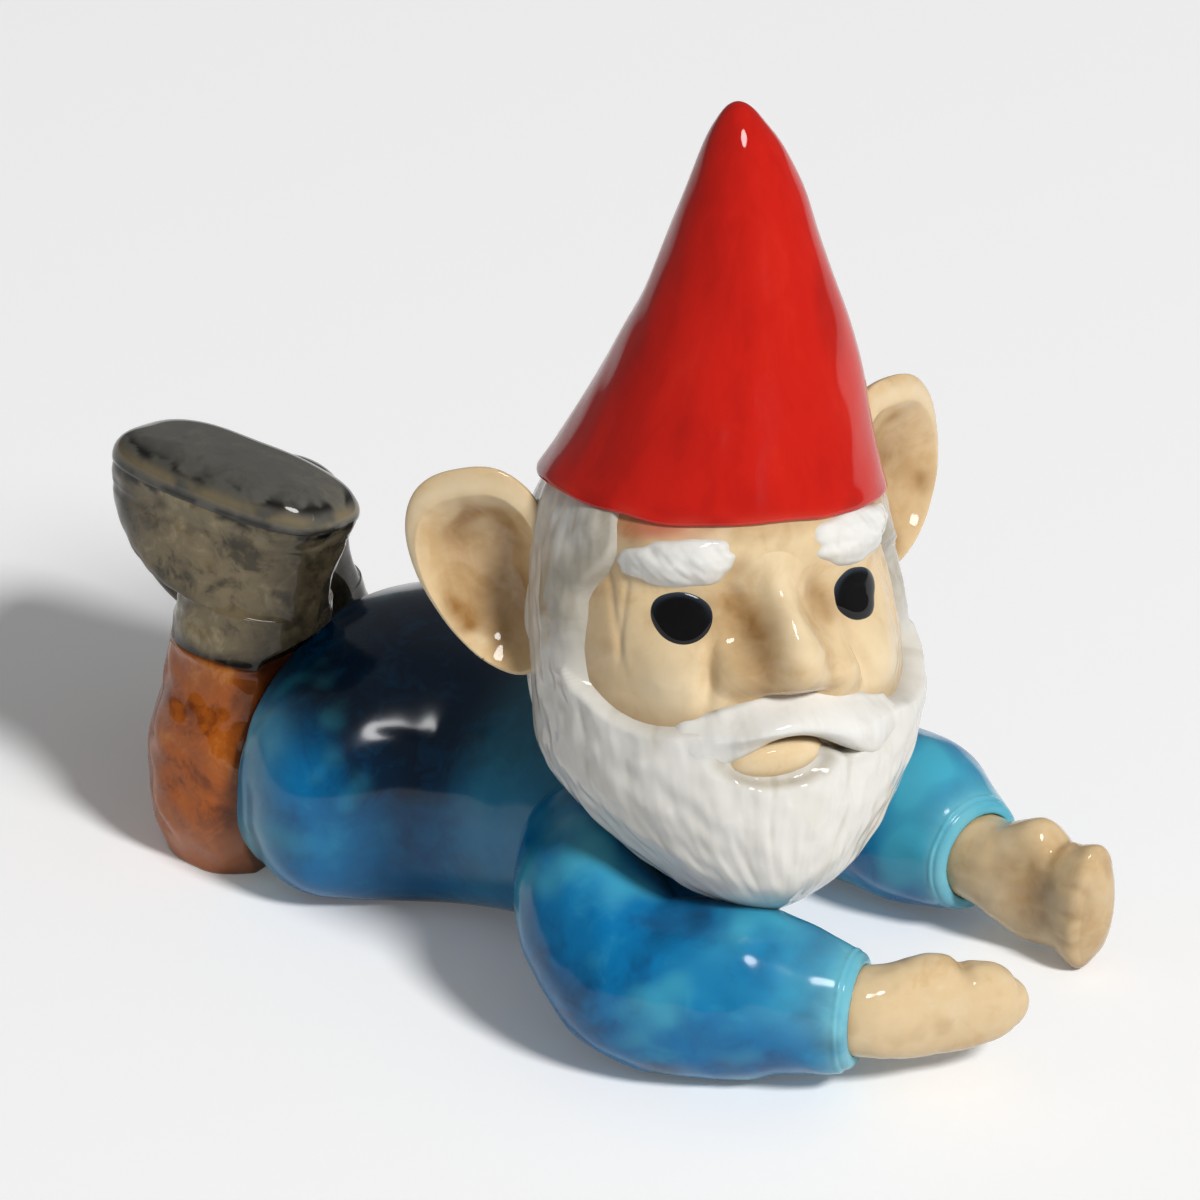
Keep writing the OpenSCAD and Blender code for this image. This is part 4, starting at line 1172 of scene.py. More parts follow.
@dataclass
class Head:
    """The egg-shaped head with everything that is luted on it.

    Angles on the face count in degrees from its middle, and heights follow the slope of the features.
    """

    plan: Plan
    head_d: float = 19.4
    jaw_drop: float = 13.5
    skull_rise: float = 16.0
    face_slope: float = 6.0
    face_turn: float = 3.0
    nose_tip_z: float = 2.5
    nose_len: float = 6.0
    nose_w: float = 6.6
    nose_t: float = 3.2
    lip_w: float = 5.2
    lip_h: float = 2.2
    lip_z: float = -3.45
    lip_turn: float = -9.0
    beard_t: float = 0.9
    beard_drop: float = 13.0
    beard_back: float = 1.9
    beard_swing: float = -0.7
    face_half_w: float = 8.9
    window_low: float = -1.2
    window_corner: float = 1.25
    window_turn: float = 22.0
    mouth_z: float = -2.0
    mouth_droop: float = 2.0
    moustache_t: float = 1.7
    ear_h: float = 11.6
    ear_w: float = 8.6
    ear_t: float = 2.2
    ear_bowl: float = 1.7
    ear_sweep: float = 32.0
    ear_z: float = 6.0

    def radius(self, z: Array) -> Array:
        """Radius of the egg at a height: half an ellipse below and half of a taller one above."""
        z = np.asarray(z, float)
        reach = np.where(z < 0, self.jaw_drop, self.skull_rise)
        return self.head_d / 2 * np.sqrt(np.maximum(0.0, 1 - (z / reach) ** 2))

    def drop(self, a: Array) -> Array:
        """How far the sloping features lie above their level at an angle on the face."""
        slope = math.tan(math.radians(self.face_slope))
        return -self.head_d / 2 * slope * np.sin(np.radians(a + self.face_turn))

    def relief(self, a: Array, h: Array) -> Array:
        """Modelling of the face: sockets, cheeks, brow ridge, folds and wrinkles, as a stand-off.

        Args:
            a: Angle from the middle of the face.
            h: Height on the sloping face.

        Returns:
            Stand-off from the egg in millimetres.
        """
        b = np.abs(a)
        sockets = -0.42 * bell(b - 30, 13) * bell(h - 4.7, 2.1)
        corners = -0.5 * bell(b - 15, 5.5) * bell(h - 5.0, 1.9)
        cheeks = 0.6 * bell(b - 37, 13) * bell(h - 0.9, 1.9)
        ridge = 0.3 * bell(b - 32, 18) * bell(h - 7.4, 1.3)
        folds = -0.5 * bell(b - 26 - 1.2 * (1.8 - h), 2.6) * bell(h - 1.2, 1.6)
        full = 1.35 * ramp(5.6, 9.6, h)
        lines = bell(b - 58 - 1.1 * (h - 4), 1.8) + 0.8 * bell(b - 55 + 1.0 * (h - 4), 1.5)
        temples = -0.1 * lines * ramp(0.5, 3.0, h) * ramp(8.4, 6.4, h)
        return sockets + corners + cheeks + ridge + folds + full + temples

    def on_face(self, a: Array, h: Array, out: Array | float = 0.0) -> Array:
        """Places on the modelled face at an angle, a height and a stand-off, in the head's frame."""
        z = h + self.drop(a)
        r = self.radius(z) + self.relief(a, h) + out
        return about(a + self.face_turn, r, z)

    def level(self, points: Array) -> tuple[Array, Array]:
        """Angle on the face and height on its slope of places in the head's frame."""
        a = np.degrees(np.arctan2(points[..., 0], -points[..., 1])) - self.face_turn
        return a, points[..., 2] - self.drop(a)

    def pressed(self, rings: Array) -> Array:
        """Rings of the head's frame in the part's frame, pressed flat on the neck's plane."""
        origin, way = self.plan.neck_plane()
        return settle(self.plan.head(rings), origin, way)

    def mouth_edge(self, x: Array) -> Array:
        """Lower edge of the moustache: an arch over the lip that runs out into the bare face's edge."""
        arch = self.mouth_z - self.mouth_droop * (1 - bell(x + 0.5, 3))
        return mix(arch, self.window_low, ramp(2.2, 4.8, np.abs(x)))

    def window_depth(self, a: Array, h: Array) -> Array:
        """Depth inside the outline of bare face and moustache, open at the top; negative outside."""
        x = self.head_d / 2 * np.sin(np.radians(np.clip(a, -90, 90)))
        edge = math.degrees(math.asin(2 * self.face_half_w / self.head_d))
        corner = np.clip((np.abs(a) - edge) / self.window_turn + 1.0, 0.0, 1.5) ** 2
        low = self.mouth_edge(x) + self.window_corner * corner
        half_w = self.face_half_w - 1.7 * ramp(4.6, 9.0, h)
        return np.where(np.abs(a) < 90, np.minimum(half_w - np.abs(x), h - low), -9.0)

    def nose_form(self, a: Array, h: Array) -> Array:
        """Stand-off of the nose from the face: a crest with a bell across it, joined softly to two wings.

        Args:
            a: Angle from the middle of the face.
            h: Height on the sloping face.

        Returns:
            Stand-off in millimetres, 0 away from the nose.
        """
        x, tip = self.head_d / 2 * np.radians(a), self.nose_tip_z - 0.15
        crest = 0.82 * self.nose_t * ramp(tip + 1.06 * self.nose_len, tip, h) ** 1.2
        crest = crest * np.sqrt(np.clip(1 - (np.maximum(tip - h, 0) / 2.2) ** 2, 0, 1))
        width = 0.95 + 0.85 * ramp(tip + 2.8, tip, h)
        ridge = crest * np.exp(-np.abs(x / width) ** 2.2)
        wings = 0.0
        for side in Side:
            across = (x - side * 0.4 * self.nose_w) / (0.23 * self.nose_w)
            along = (h - tip + 1.2 + side * 0.35) / 1.3
            wings = wings + 0.9 * np.exp(-((across**2 + along**2) ** 1.3))
        return (ridge**1.7 + wings**1.7) ** (1 / 1.7)

    def worn(self, points: Array) -> Array:
        """Unevenness of the modelled skin."""
        return rough(points, (0.05, 3.2, 201), (0.025, 1.3, 202))

    def shade(self, a: Array, h: Array, points: Array) -> Array:
        """Share of gathered glaze and painted shade on the face: in hollows, beside the nose's ridge, on its
        shaded left flank and under its bulb.
        """
        x, tip = self.head_d / 2 * np.radians(a), self.nose_tip_z - 0.15
        beside = bell(np.abs(x) - 1.55, 0.62) * bell(h - tip - 1.7, 1.3) * ramp(2.5, -0.5, x)
        # Painted shade on the nose's left flank, the side away from the lamp.
        shaded_flank = bell(x + 1.9, 1.3) * bell(h - tip + 0.3, 1.7)
        under = bell(x, 2.0) * bell(h - tip + 2.0, 0.45)
        furrow = bell(np.abs(x) - 1.7, 0.35) * bell(h - tip + 0.9, 0.9)
        clouds = ramp(0.2, 0.9, lumps(points, 2.6, 204))
        hollows = ramp(-0.06, -0.6, self.relief(a, h))
        return 0.62 * hollows + 0.7 * beside + 0.6 * shaded_flank + 0.5 * under + 0.25 * furrow + 0.2 * clouds

    def egg(self) -> Piece:
        """The bare head with its modelled face and a wash of the hat's red under the rim."""
        low, high = -0.97 * self.jaw_drop, 0.9 * self.skull_rise
        z = np.concatenate([np.linspace(low, -4, 40)[:-1], np.linspace(-4, 10.6, 190),
                            np.linspace(10.6, high, 20)[1:]])
        a = np.concatenate([np.linspace(-80, 80, 320), np.linspace(80, 280, 60)[1:-1]])
        aa, zz = np.meshgrid(a, z)
        aa = (aa + 180) % 360 - 180
        h = zz - self.drop(aa)
        front = bell(aa, 75)
        rings = self.on_face(aa, h, np.maximum(0.0, self.nose_form(aa, h) - 0.1))
        rings = swell(rings, self.worn(rings) * front)
        depth = self.window_depth(aa, h)
        cloud = lumps(rings, 1.6, 203)
        wash = bell(aa + 38, 13) * ramp(8.0, 9.3, h + 0.45 * lumps(rings, 4.5, 205))
        rim = ramp(8.2, 9.6, h + 0.4 * cloud)
        # Painted shade: the bare face darkens towards its edge under the hair; it is also darker under the
        # hat's rim.
        masks = {Mask.POOL: self.shade(aa, h, rings) + 0.5 * ramp(1.2, 0.0, depth) * front + 0.4 * rim,
                 Mask.THIN: 0.6 * bell(np.abs(aa) - 37, 13) * bell(h - 0.9, 1.9), Mask.STAIN: 0.6 * wash}
        return Piece("head", Skin.over(self.pressed(rings), masks), SKIN)

    def patch(self, at: tuple[float, float], half: tuple[float, float],
              height: Callable[[Array, Array, Array], Array], rings: int, sides: int,
              outline: Callable[[Array], Array] | None = None, rise: float = 0.0) -> tuple[Array, Array]:
        """A pad of clay on the face: a front sheet over an oval, closed by a back sheet inside the head.

        Args:
            at: Angle and height of its middle.
            half: Half its breadth in degrees and half its height.
            height: Stand-off from angle, height and share of the oval.
            rings: Rings of the front sheet.
            sides: Points per ring.
            outline: Factor on the oval's reach by direction.
            rise: How much the oval climbs along its breadth.

        Returns:
            The rings in the head's frame, and the share of the oval on their grid.
        """
        phi = 2 * math.pi * np.arange(sides) / sides
        reach = np.ones(sides) if outline is None else outline(phi)
        rho = np.sin(np.linspace(0.03, math.pi / 2, rings))
        back = np.array([0.97, 0.7, 0.35, 0.06])

        def sheet(share: Array) -> tuple[Array, Array]:
            """Angles and heights at shares of the oval."""
            across = share[:, None] * reach * np.cos(phi)
            along = share[:, None] * reach * np.sin(phi)
            return at[0] + half[0] * across, at[1] + half[1] * along + rise * across

        a, h = sheet(rho)
        front = self.on_face(a, h, height(a, h, rho[:, None]))
        a, h = sheet(back)
        behind = self.on_face(a, h, np.full(a.shape, -0.5))
        return np.concatenate([front, behind]), np.concatenate([rho, back])[:, None] * np.ones(sides)

    def nose(self) -> Piece:
        """The nose: a narrow ridge that swells to a bulb between two wings and runs out into the face."""

        def height(a: Array, h: Array, rho: Array) -> Array:
            """The nose's form, sunk under the face towards the pad's rim."""
            return self.nose_form(a, h) - 0.24 * ramp(0.62, 1.0, rho)

        rings, _ = self.patch((0.0, self.nose_tip_z + 1.3), (32.0, 5.6), height, 110, 180)
        rings = swell(rings, self.worn(rings) * bell(self.level(rings)[0], 75))
        a, h = self.level(rings)
        depth = self.window_depth(a, h)
        x = self.head_d / 2 * np.radians(a)
        # Painted shade as on the face, and towards the edge under the hair.
        masks = {Mask.POOL: self.shade(a, h, rings) + 0.5 * ramp(1.2, 0.0, depth),
                 Mask.THIN: 0.5 * bell(x, 1.0) * ramp(self.nose_tip_z - 0.8, self.nose_tip_z, h)
                 + 0.6 * bell(np.abs(a) - 37, 13) * bell(h - 0.9, 1.9)}
        return Piece("nose", Skin.over(self.pressed(rings), masks), SKIN)

    def eye(self, side: Side) -> Piece:
        """One eye: a flat thick drop of black glaze, the right one cut straight above, the left a tear."""
        pair = FACE_PAIRS[side]

        def outline(phi: Array) -> Array:
            """Reach of the drop by direction."""
            if side is Side.RIGHT:
                return 1.0 - 0.12 * bell(np.sin(phi) - 1, 0.4) + 0.07 * np.sin(phi) * np.cos(phi) ** 2
            tear = 0.16 * bell(np.angle(np.exp(1j * (phi + 0.45))), 0.5)
            return 1.0 - tear + 0.1 * bell(np.angle(np.exp(1j * (phi - 0.6))), 0.5)

        def height(a: Array, h: Array, rho: Array) -> Array:
            """A low dome with a rolled edge."""
            return 0.36 * np.maximum(0, 1 - rho**2.8) ** 0.6 - 0.08

        rings, rho = self.patch(pair.eye_at, pair.eye_half, height, 36, 96, outline)
        # Painted reflection: the upper part of the drop's rim takes the bluish grey tone as the surround's
        # reflection; a fainter grey ring runs all round.
        above = ramp(-0.3, 0.9, (self.level(rings)[1] - pair.eye_at[1]) / pair.eye_half[1])
        masks = {Mask.THIN: 0.8 * ramp(0.72, 0.98, rho) * above + 0.3 * ramp(0.9, 1.0, rho)}
        return Piece(f"{side.word}_eye", Skin.over(self.pressed(rings), masks), BLACK)

    def brow(self, side: Side) -> Piece:
        """One eyebrow: a lumpy stroke of white slip."""
        pair = FACE_PAIRS[side]

        def height(a: Array, h: Array, rho: Array) -> Array:
            """A flat-topped roll with combed strokes."""
            x = np.stack([a * 0.17 + 0.5 * h, h], -1)
            combed = rough(x, (0.05, 0.9, 231 + int(side)), (0.14, 2.2, 233 + int(side)))
            return (0.52 + combed) * np.maximum(0, 1 - rho**2.6) ** 0.65 - 0.1

        def outline(phi: Array) -> Array:
            """Reach of the stroke, squarer at its inner end and a little uneven."""
            inner = np.maximum(0, -side * np.cos(phi))
            ragged = 0.06 * np.sin(3 * phi + side) + 0.035 * np.sin(7 * phi + 2) + 0.02 * np.sin(11 * phi)
            return 1.0 + ragged + 0.1 * inner * np.abs(np.sin(phi))

        climb = -side * pair.brow_rise
        rings, rho = self.patch(pair.brow_at, pair.brow_half, height, 40, 140, outline, climb)
        masks = {Mask.POOL: 0.4 * ramp(0.86, 1.0, rho)}
        return Piece(f"{side.word}_eyebrow", Skin.over(self.pressed(rings), masks), WHITE)

    def lip(self) -> Piece:
        """The lower lip: a soft oval pad in the hollow under the moustache."""

        def height(a: Array, h: Array, rho: Array) -> Array:
            """A dome as high as the beard round it."""
            return 1.3 * np.maximum(0, 1 - rho**2.6) ** 0.6 - 0.1

        half = (math.degrees(0.57 * self.lip_w / (self.head_d / 2)), 0.54 * self.lip_h)
        rings, rho = self.patch((self.lip_turn, self.lip_z), half, height, 36, 110, None, 0.35)
        masks = {Mask.POOL: 0.75 * ramp(0.8, 1.0, rho)}
        return Piece("lower_lip", Skin.over(self.pressed(rings), masks), SKIN)

    def beard_rows(self) -> Array:
        """Levels of the beard: height, forward shift, half width and half depth."""
        d, t = self.beard_drop, self.beard_t

        def level(z: float, share: float) -> list[float]:
            """A level that follows the egg at a stand-off."""
            r = float(self.radius(z)) + share * t
            return [z, 0.0, r, r]

        jaw, rim = float(self.radius(-4.0)), self.plan.hat_line
        return np.array([
            [-d, 5.0, 0.8, 0.9], [-0.93 * d, 4.2, 2.9, 3.6], [-0.8 * d, 2.9, 5.5, 7.1],
            [-0.56 * d, 1.1, 8.55, 9.7], [-0.28 * d, 0.2, jaw + 1.5 * t, jaw + 1.3 * t],
            level(0.0, 1.0), level(0.5 * rim, 1.0), level(rim, 1.7), level(rim + 2, 1.7)])

    def beard_out(self, a: Array, h: Array) -> Array:
        """Stand-off of the beard's outer form from the egg at an angle and a height on the face."""
        rows = self.beard_rows()
        dense = through(rows, np.linspace(0, len(rows) - 1, 400))
        z, turned = h + self.drop(a), np.radians(a + self.face_turn)
        shift, half_w, half_d = (np.interp(z, dense[:, 0], dense[:, k]) for k in (1, 2, 3))
        return np.hypot(half_w * np.sin(turned), shift + half_d * np.cos(turned)) - self.radius(z)

    def strands(self, a: Array, h: Array, seed: int) -> Array:
        """Combed hair: waves that are short across the strands and long along them."""
        x = np.stack([0.17 * a + 0.5 * np.sin(0.5 * h), 0.2 * h + 0 * a], -1)
        return rough(x, (0.65, 1.5, seed), (0.35, 0.7, seed + 1))

    def lip_share(self, a: Array, h: Array) -> Array:
        """Distance from the lip's middle in half widths and half heights of the lip."""
        x = self.head_d / 2 * np.radians(a - self.lip_turn)
        return np.hypot(x / (0.56 * self.lip_w), (h - self.lip_z) / (0.58 * self.lip_h))

    def beard(self) -> Piece:
        """The beard and sideburns: a thick shell round the chin, open where the face is bare."""
        rows = self.beard_rows()
        fine, coarse = 320, 34
        s = through(rows, np.linspace(0, len(rows) - 1, 230))
        z, shift, half_w, half_d = (s[:, k, None] for k in range(4))
        reach = np.clip(-(self.beard_back + shift) / np.maximum(half_d, 0.1), -1.0, 1.0)
        most = np.minimum(np.degrees(np.arccos(reach)), 150.0)
        across = np.linspace(-1, 1, fine)
        b = most * across
        a = b - self.face_turn
        h = z - self.drop(a)
        flat = np.stack([0.16 * a, h], -1)
        swing = self.beard_swing * bell(z + self.beard_drop, 5)
        tip = ramp(-self.beard_drop, -self.beard_drop + 2.5, z)
        combed = self.strands(a, h, 251)
        hollow = 0.6 * ramp(1.3, 0.7, self.lip_share(a, h))
        relief = (0.05 * combed + rough(flat, (0.13, 3.6, 252), (0.05, 1.6, 255))) * tip
        relief = relief * ramp(1.0, 0.9, np.abs(across)) - hollow
        sin, cos = np.sin(np.radians(b)), np.cos(np.radians(b))
        x, y = (half_w + relief) * sin + swing, -shift - (half_d + relief) * cos
        depth = self.window_depth(a, h) + 0.16 * lumps(flat, 5.5, 253)
        bare = ramp(-0.75, 0.4, depth)
        inner = np.maximum(0.05, np.minimum(self.radius(z) - 1.2, 0.85 * half_w))
        outer = np.stack([mix(x, inner * sin, bare), mix(y, -inner * cos, bare), z + 0 * a], -1)
        c = np.radians(most * np.linspace(1, -1, coarse))
        deep = np.maximum(0.04, np.minimum(self.radius(z) - 1.5, 0.75 * half_w))
        y = -shift * ramp(-4, -9, z) - deep * np.cos(c)
        lining = np.stack([deep * np.sin(c) + swing, y, z + 0 * c], -1)
        rings = np.concatenate([outer, lining], 1)
        # Painted shade: the hair darkens along the bare face's edge, at the temple, in the combed furrows and
        # round the lip's hollow.
        temple_shade = 0.85 * bell(depth + 0.9, 0.8) * ramp(0.5, 4.0, h)
        folds = 0.25 * ramp(-0.2, -0.9, combed) * tip
        shade = 0.6 * bell(depth - 0.05, 0.4) + temple_shade + folds + 0.8 * bell(hollow - 0.4, 0.3)
        cloudy = 0.3 * ramp(0.2, 0.9, lumps(flat, 4.0, 254))
        masks = {Mask.POOL: lined(shade, coarse), Mask.STAIN: lined(cloudy, coarse)}
        return Piece("beard", Skin.over(self.pressed(rings), masks, rings), WHITE)

    def nape(self) -> Piece:
        """The hair at the back of the head: a combed shell from ear to ear."""
        fine, coarse = 240, 30
        share = np.linspace(0, 1, 130)[:, None]
        z = mix(-0.7 * self.jaw_drop, self.plan.hat_line + 2, share)
        r = self.radius(z) + self.beard_t * (0.6 + 0.5 * np.sin(math.pi * share) + ramp(5.0, 9.6, z))
        start = np.degrees(np.arccos(np.clip(-self.beard_back / r, -1, 1)))
        a = mix(start, 360 - start, np.linspace(0, 1, fine))
        flat = np.stack([0.16 * a, z + 0 * a], -1)
        combed = self.strands(a, z, 261)
        across = np.abs(np.linspace(-1, 1, fine))
        ends = ramp(1.0, 0.88, across)
        r = r + (0.07 * combed + 0.1 * lumps(flat, 3.2, 262)) * ends - 0.6 * ramp(0.1, 0.0, share)
        r = r - 0.3 * ramp(0.93, 1.0, across)
        inwards = mix(360 - start, start, np.linspace(0, 1, coarse))
        rings = np.concatenate([about(a, r, z), about(inwards, self.radius(z) - 0.6, z)], 1)
        shade = 0.35 * ramp(-0.15, -0.8, combed) + 0.4 * ramp(0.12, 0.0, share)
        masks = {Mask.POOL: lined(shade, coarse)}
        return Piece("nape_hair", Skin.over(self.pressed(rings), masks, rings), WHITE)

    def moustache(self) -> Piece:
        """The moustache: a roll under the nose that arches over the lip and runs out into the beard."""
        fine, coarse = 90, 9
        u = np.linspace(-1, 1, 240)[:, None]
        a, q = 50.0 * u, np.linspace(0, 1, fine)[None]
        x, side = self.head_d / 2 * np.sin(np.radians(a)), np.abs(u)
        middle = bell(u + 0.04, 0.5)
        top = 0.25 - 1.3 * ramp(0.05, 0.85, side) - 1.2 * ramp(0.7, 1.0, side)
        top = top + 0.08 * lumps(np.stack([x, 0 * x], -1), 2.5, 273)
        droop = self.mouth_droop * (1 - bell(x + 0.5, 3))
        bottom = self.mouth_z - 0.05 - droop + 0.9 * ramp(0.75, 1.0, side)
        h = mix(top, bottom, q)
        wide = a + 0 * q
        flat = np.stack([0.16 * wide, h], -1)
        under = self.beard_out(wide, h) - 0.12 - 0.55 * ramp(1.5, 0.8, self.lip_share(wide, h))
        base = mix(-0.15 + self.relief(wide, h), under, ramp(0.0, mix(0.32, 0.75, middle), q))
        roll = np.sin(math.pi * q ** mix(0.85, 1.75, middle)) ** mix(0.9, 0.6, middle)
        crest = self.moustache_t * mix(0.1, 0.46, bell(u, 0.5)) * roll * ramp(0.9, 0.3, side)
        ends = ramp(1.0, 0.7, side)
        combed = self.strands(wide, h, 271)
        worn = (0.05 * combed + 0.1 * lumps(flat, 2.4, 272)) * np.sin(math.pi * q) * ends
        out = base + crest + 0.2 * ramp(0.95, 0.3, side) + worn - 0.25 * (1 - ends)
        out = out - 0.35 * ramp(0.3, 1.0, q) * ramp(0.3, 0.8, side)
        front = self.on_face(wide, h, out - self.relief(wide, h))
        w = np.linspace(1, 0, coarse)[None]
        hb = mix(top, bottom, w)
        behind = self.on_face(a + 0 * w, hb, -0.5 + 0 * hb)
        rings = np.concatenate([front, behind], 1)
        folds = 0.25 * ramp(-0.15, -0.9, combed)
        shade = 0.7 * bell(q, 0.06) + 0.9 * bell(q - 1.0, 0.07) * middle + folds
        masks = {Mask.POOL: lined(shade, coarse)}
        return Piece("moustache", Skin.over(self.pressed(rings), masks, rings), WHITE)

    def ear(self, side: Side) -> Piece:
        """One ear: a leaf with a domed back, a rounded rim that is broad above, and a smooth deep bowl."""
        sides = 160
        a = (2 * math.pi * np.arange(sides) / sides)[None]
        rho_back = np.sin(np.linspace(math.radians(3), math.pi / 2, 40))[:, None]
        rho_front = np.sin(np.linspace(math.pi / 2, math.radians(3), 70)[1:])[:, None]
        back = -self.ear_t * np.sqrt(np.maximum(0, 1 - rho_back**2)) + 0 * a
        across, along = rho_front * np.cos(a), rho_front * np.sin(a)
        bowl_share = np.hypot((across - 0.02) / 0.9, (along + 0.1) / 0.86)
        rim = 0.42 * np.sqrt(np.maximum(0, 1 - rho_front**6))
        bowl = -(self.ear_bowl + 0.4) * np.maximum(0, 1 - bowl_share**2.3) ** 1.1
        rho = np.concatenate([rho_back, rho_front])
        depth = np.concatenate([back, bowl + rim])
        low = 1.0 if side is Side.RIGHT else 0.74
        up = self.ear_h / 2 * np.sin(a) * (1 + 0.16 * bell(a - 2.2, 0.42))
        up = up * np.where(np.sin(a) < 0, low, 1.0)
        taper = 1 - 0.24 * (1 - np.sin(a)) / 2 + 0.3 * bell(a - 2.3, 0.5)
        x = side * rho * (self.ear_w / 2 * taper * np.cos(a) + 0.22 * up)
        leaf = np.stack([x, up * rho, depth], -1)
        seed = 280 + int(side)
        leaf = leaf + UP * rough(leaf, (0.06, 3.0, seed), (0.02, 1.2, seed + 4))[..., None]
        beside = (float(self.radius(self.ear_z)) + 0.36 * self.ear_w) * math.cos(math.radians(10))
        at = np.array([side * beside, 0.32 * self.ear_w, self.ear_z + 0.4])
        rings = at + leaf @ (turn("z", side * self.ear_sweep) @ turn("x", 90.0)).T
        cloud = lumps(leaf, 3.2, seed + 9)
        hollow = ramp(0.98, 0.4, bowl_share)
        edge = bell(bowl_share - 0.8, 0.12) * ramp(-0.2, 0.7, cloud[40:])
        none = np.zeros((40, sides))
        # Painted shade darkens the bowl; its edge and scattered clouds are browner.
        masks = {Mask.POOL: np.concatenate([none, (0.5 + 0.18 * cloud[40:]) * hollow + 0.4 * edge])
                 + 0.16 + 0.2 * ramp(0.1, 0.9, cloud),
                 Mask.THIN: np.concatenate([none, 0.5 * bell(bowl_share - 1.1, 0.1)])}
        return Piece(f"{side.word}_ear", Skin.over(self.plan.head(rings), masks), SKIN)

    def pieces(self) -> list[Piece]:
        """The head and all that is luted on it."""
        pairs = [make(side) for side in Side for make in (self.ear, self.eye, self.brow)]
        return [self.egg(), *pairs, self.nose(), self.lip(), self.moustache(), self.beard(), self.nape()]


@dataclass
class Hat:
    """The pointed hat: a cone that bows a little, with a flared skirt and a rounded tip."""

    plan: Plan
    hat_d: float = 19.2
    hat_h: float = 21.2
    hat_tip_r: float = 1.9
    hat_flare: float = 0.2
    hat_lean: float = 8.5
    hat_bow: float = 1.1
    tip_start: float = 17.6
    rim_r: float = 0.35

    def pieces(self) -> list[Piece]:
        """The hat: a straight cone times the root of 1 minus a high power of height, on a rounded rim."""
        top, rim, tip = self.hat_h - 0.27, self.rim_r, self.tip_start
        edge = np.linspace(0.1, math.pi / 2, 9)
        close = np.linspace(0, math.pi / 2, 40)[1:-1]
        z = np.concatenate([rim * (1 - np.cos(edge)), np.linspace(rim, tip, 120)[1:],
                            top - (top - tip) * (1 - np.sin(close))])
        s = z / top
        cone = mix(self.hat_d / 2 - self.hat_flare, 0.8 * self.hat_tip_r, s) + self.hat_flare * (1 - s) ** 6
        r = cone * np.sqrt(1 - s**16)
        r[:9] -= rim * (1 - np.sin(edge))
        under = np.array([0.04, 0.4, 0.8, 0.95])
        r, z = np.concatenate([under * r[0], r]), np.concatenate([[0.3, 0.3, 0.2, 0.02], z])
        a = 2 * math.pi * np.arange(200) / 200
        bow = self.hat_bow * np.sin(math.pi * np.clip(z / self.hat_h, 0, 1))
        x = r[:, None] * np.cos(a) + bow[:, None]
        local = np.stack([x, r[:, None] * np.sin(a), z[:, None] + 0 * x], -1)
        wear = 0.12 * lumps(local, 7.0, 301) + 0.04 * lumps(local * [1, 1, 0.35], 2.4, 302) - 0.06
        fade = (ramp(0.2, 1.6, z) * ramp(self.hat_h, self.hat_h - 1.5, z))[:, None]
        face = np.degrees(np.arctan2(local[..., 0], -local[..., 1]))
        wave = 0.1 * lumps(local, 3.6, 305) - 0.55 * bell(face + 34, 30) + 0.35 * bell(face - 62, 28)
        waver = wave * ramp(3.0, 0.0, z)[:, None] * (r[:, None] > 6)
        local = swell(local, wear * fade)
        local[..., 2] += waver
        at = np.array([0, 0, self.plan.hat_line]) + local @ turn("y", self.hat_lean).T
        rings = self.plan.figure(np.array(self.plan.head_at) + at @ self.plan.facing().T)
        streak = lumps(local * [1, 1, 0.3], 4.0, 304)
        masks = {Mask.THIN: 0.3 * bell(z - 0.2, 0.3)[:, None] * ramp(-0.2, 0.6, streak),
                 Mask.POOL: 0.45 * ramp(1.2, 0.1, z)[:, None] * ramp(0.0, 0.6, lumps(local, 4.0, 303))
                 + 0.3 * ramp(0.3, 0.9, streak)}
        return [Piece("hat", Skin.over(rings, masks, local), RED)]


# The studio


@dataclass(frozen=True)
class Lamp:
    """One soft round lamp.

    Attributes:
        name: Name of the lamp.
        azimuth: Degrees to the right of the camera, seen from the figure.
        elevation: Degrees above the floor.
        distance: Distance from the figure.
        size: Breadth of the lamp.
        power: Its power in watts.
        mirrored: Whether the lamp only shows in the gloss, or only lights.
    """

    name: str
    azimuth: float
    elevation: float
    distance: float
    size: float
    power: float
    mirrored: bool


LAMPS = (Lamp("key", 40.0, 41.0, 2.4, 0.5, 53.0, False), Lamp("spark", 16.0, 64.0, 2.0, 0.6, 18.0, True))


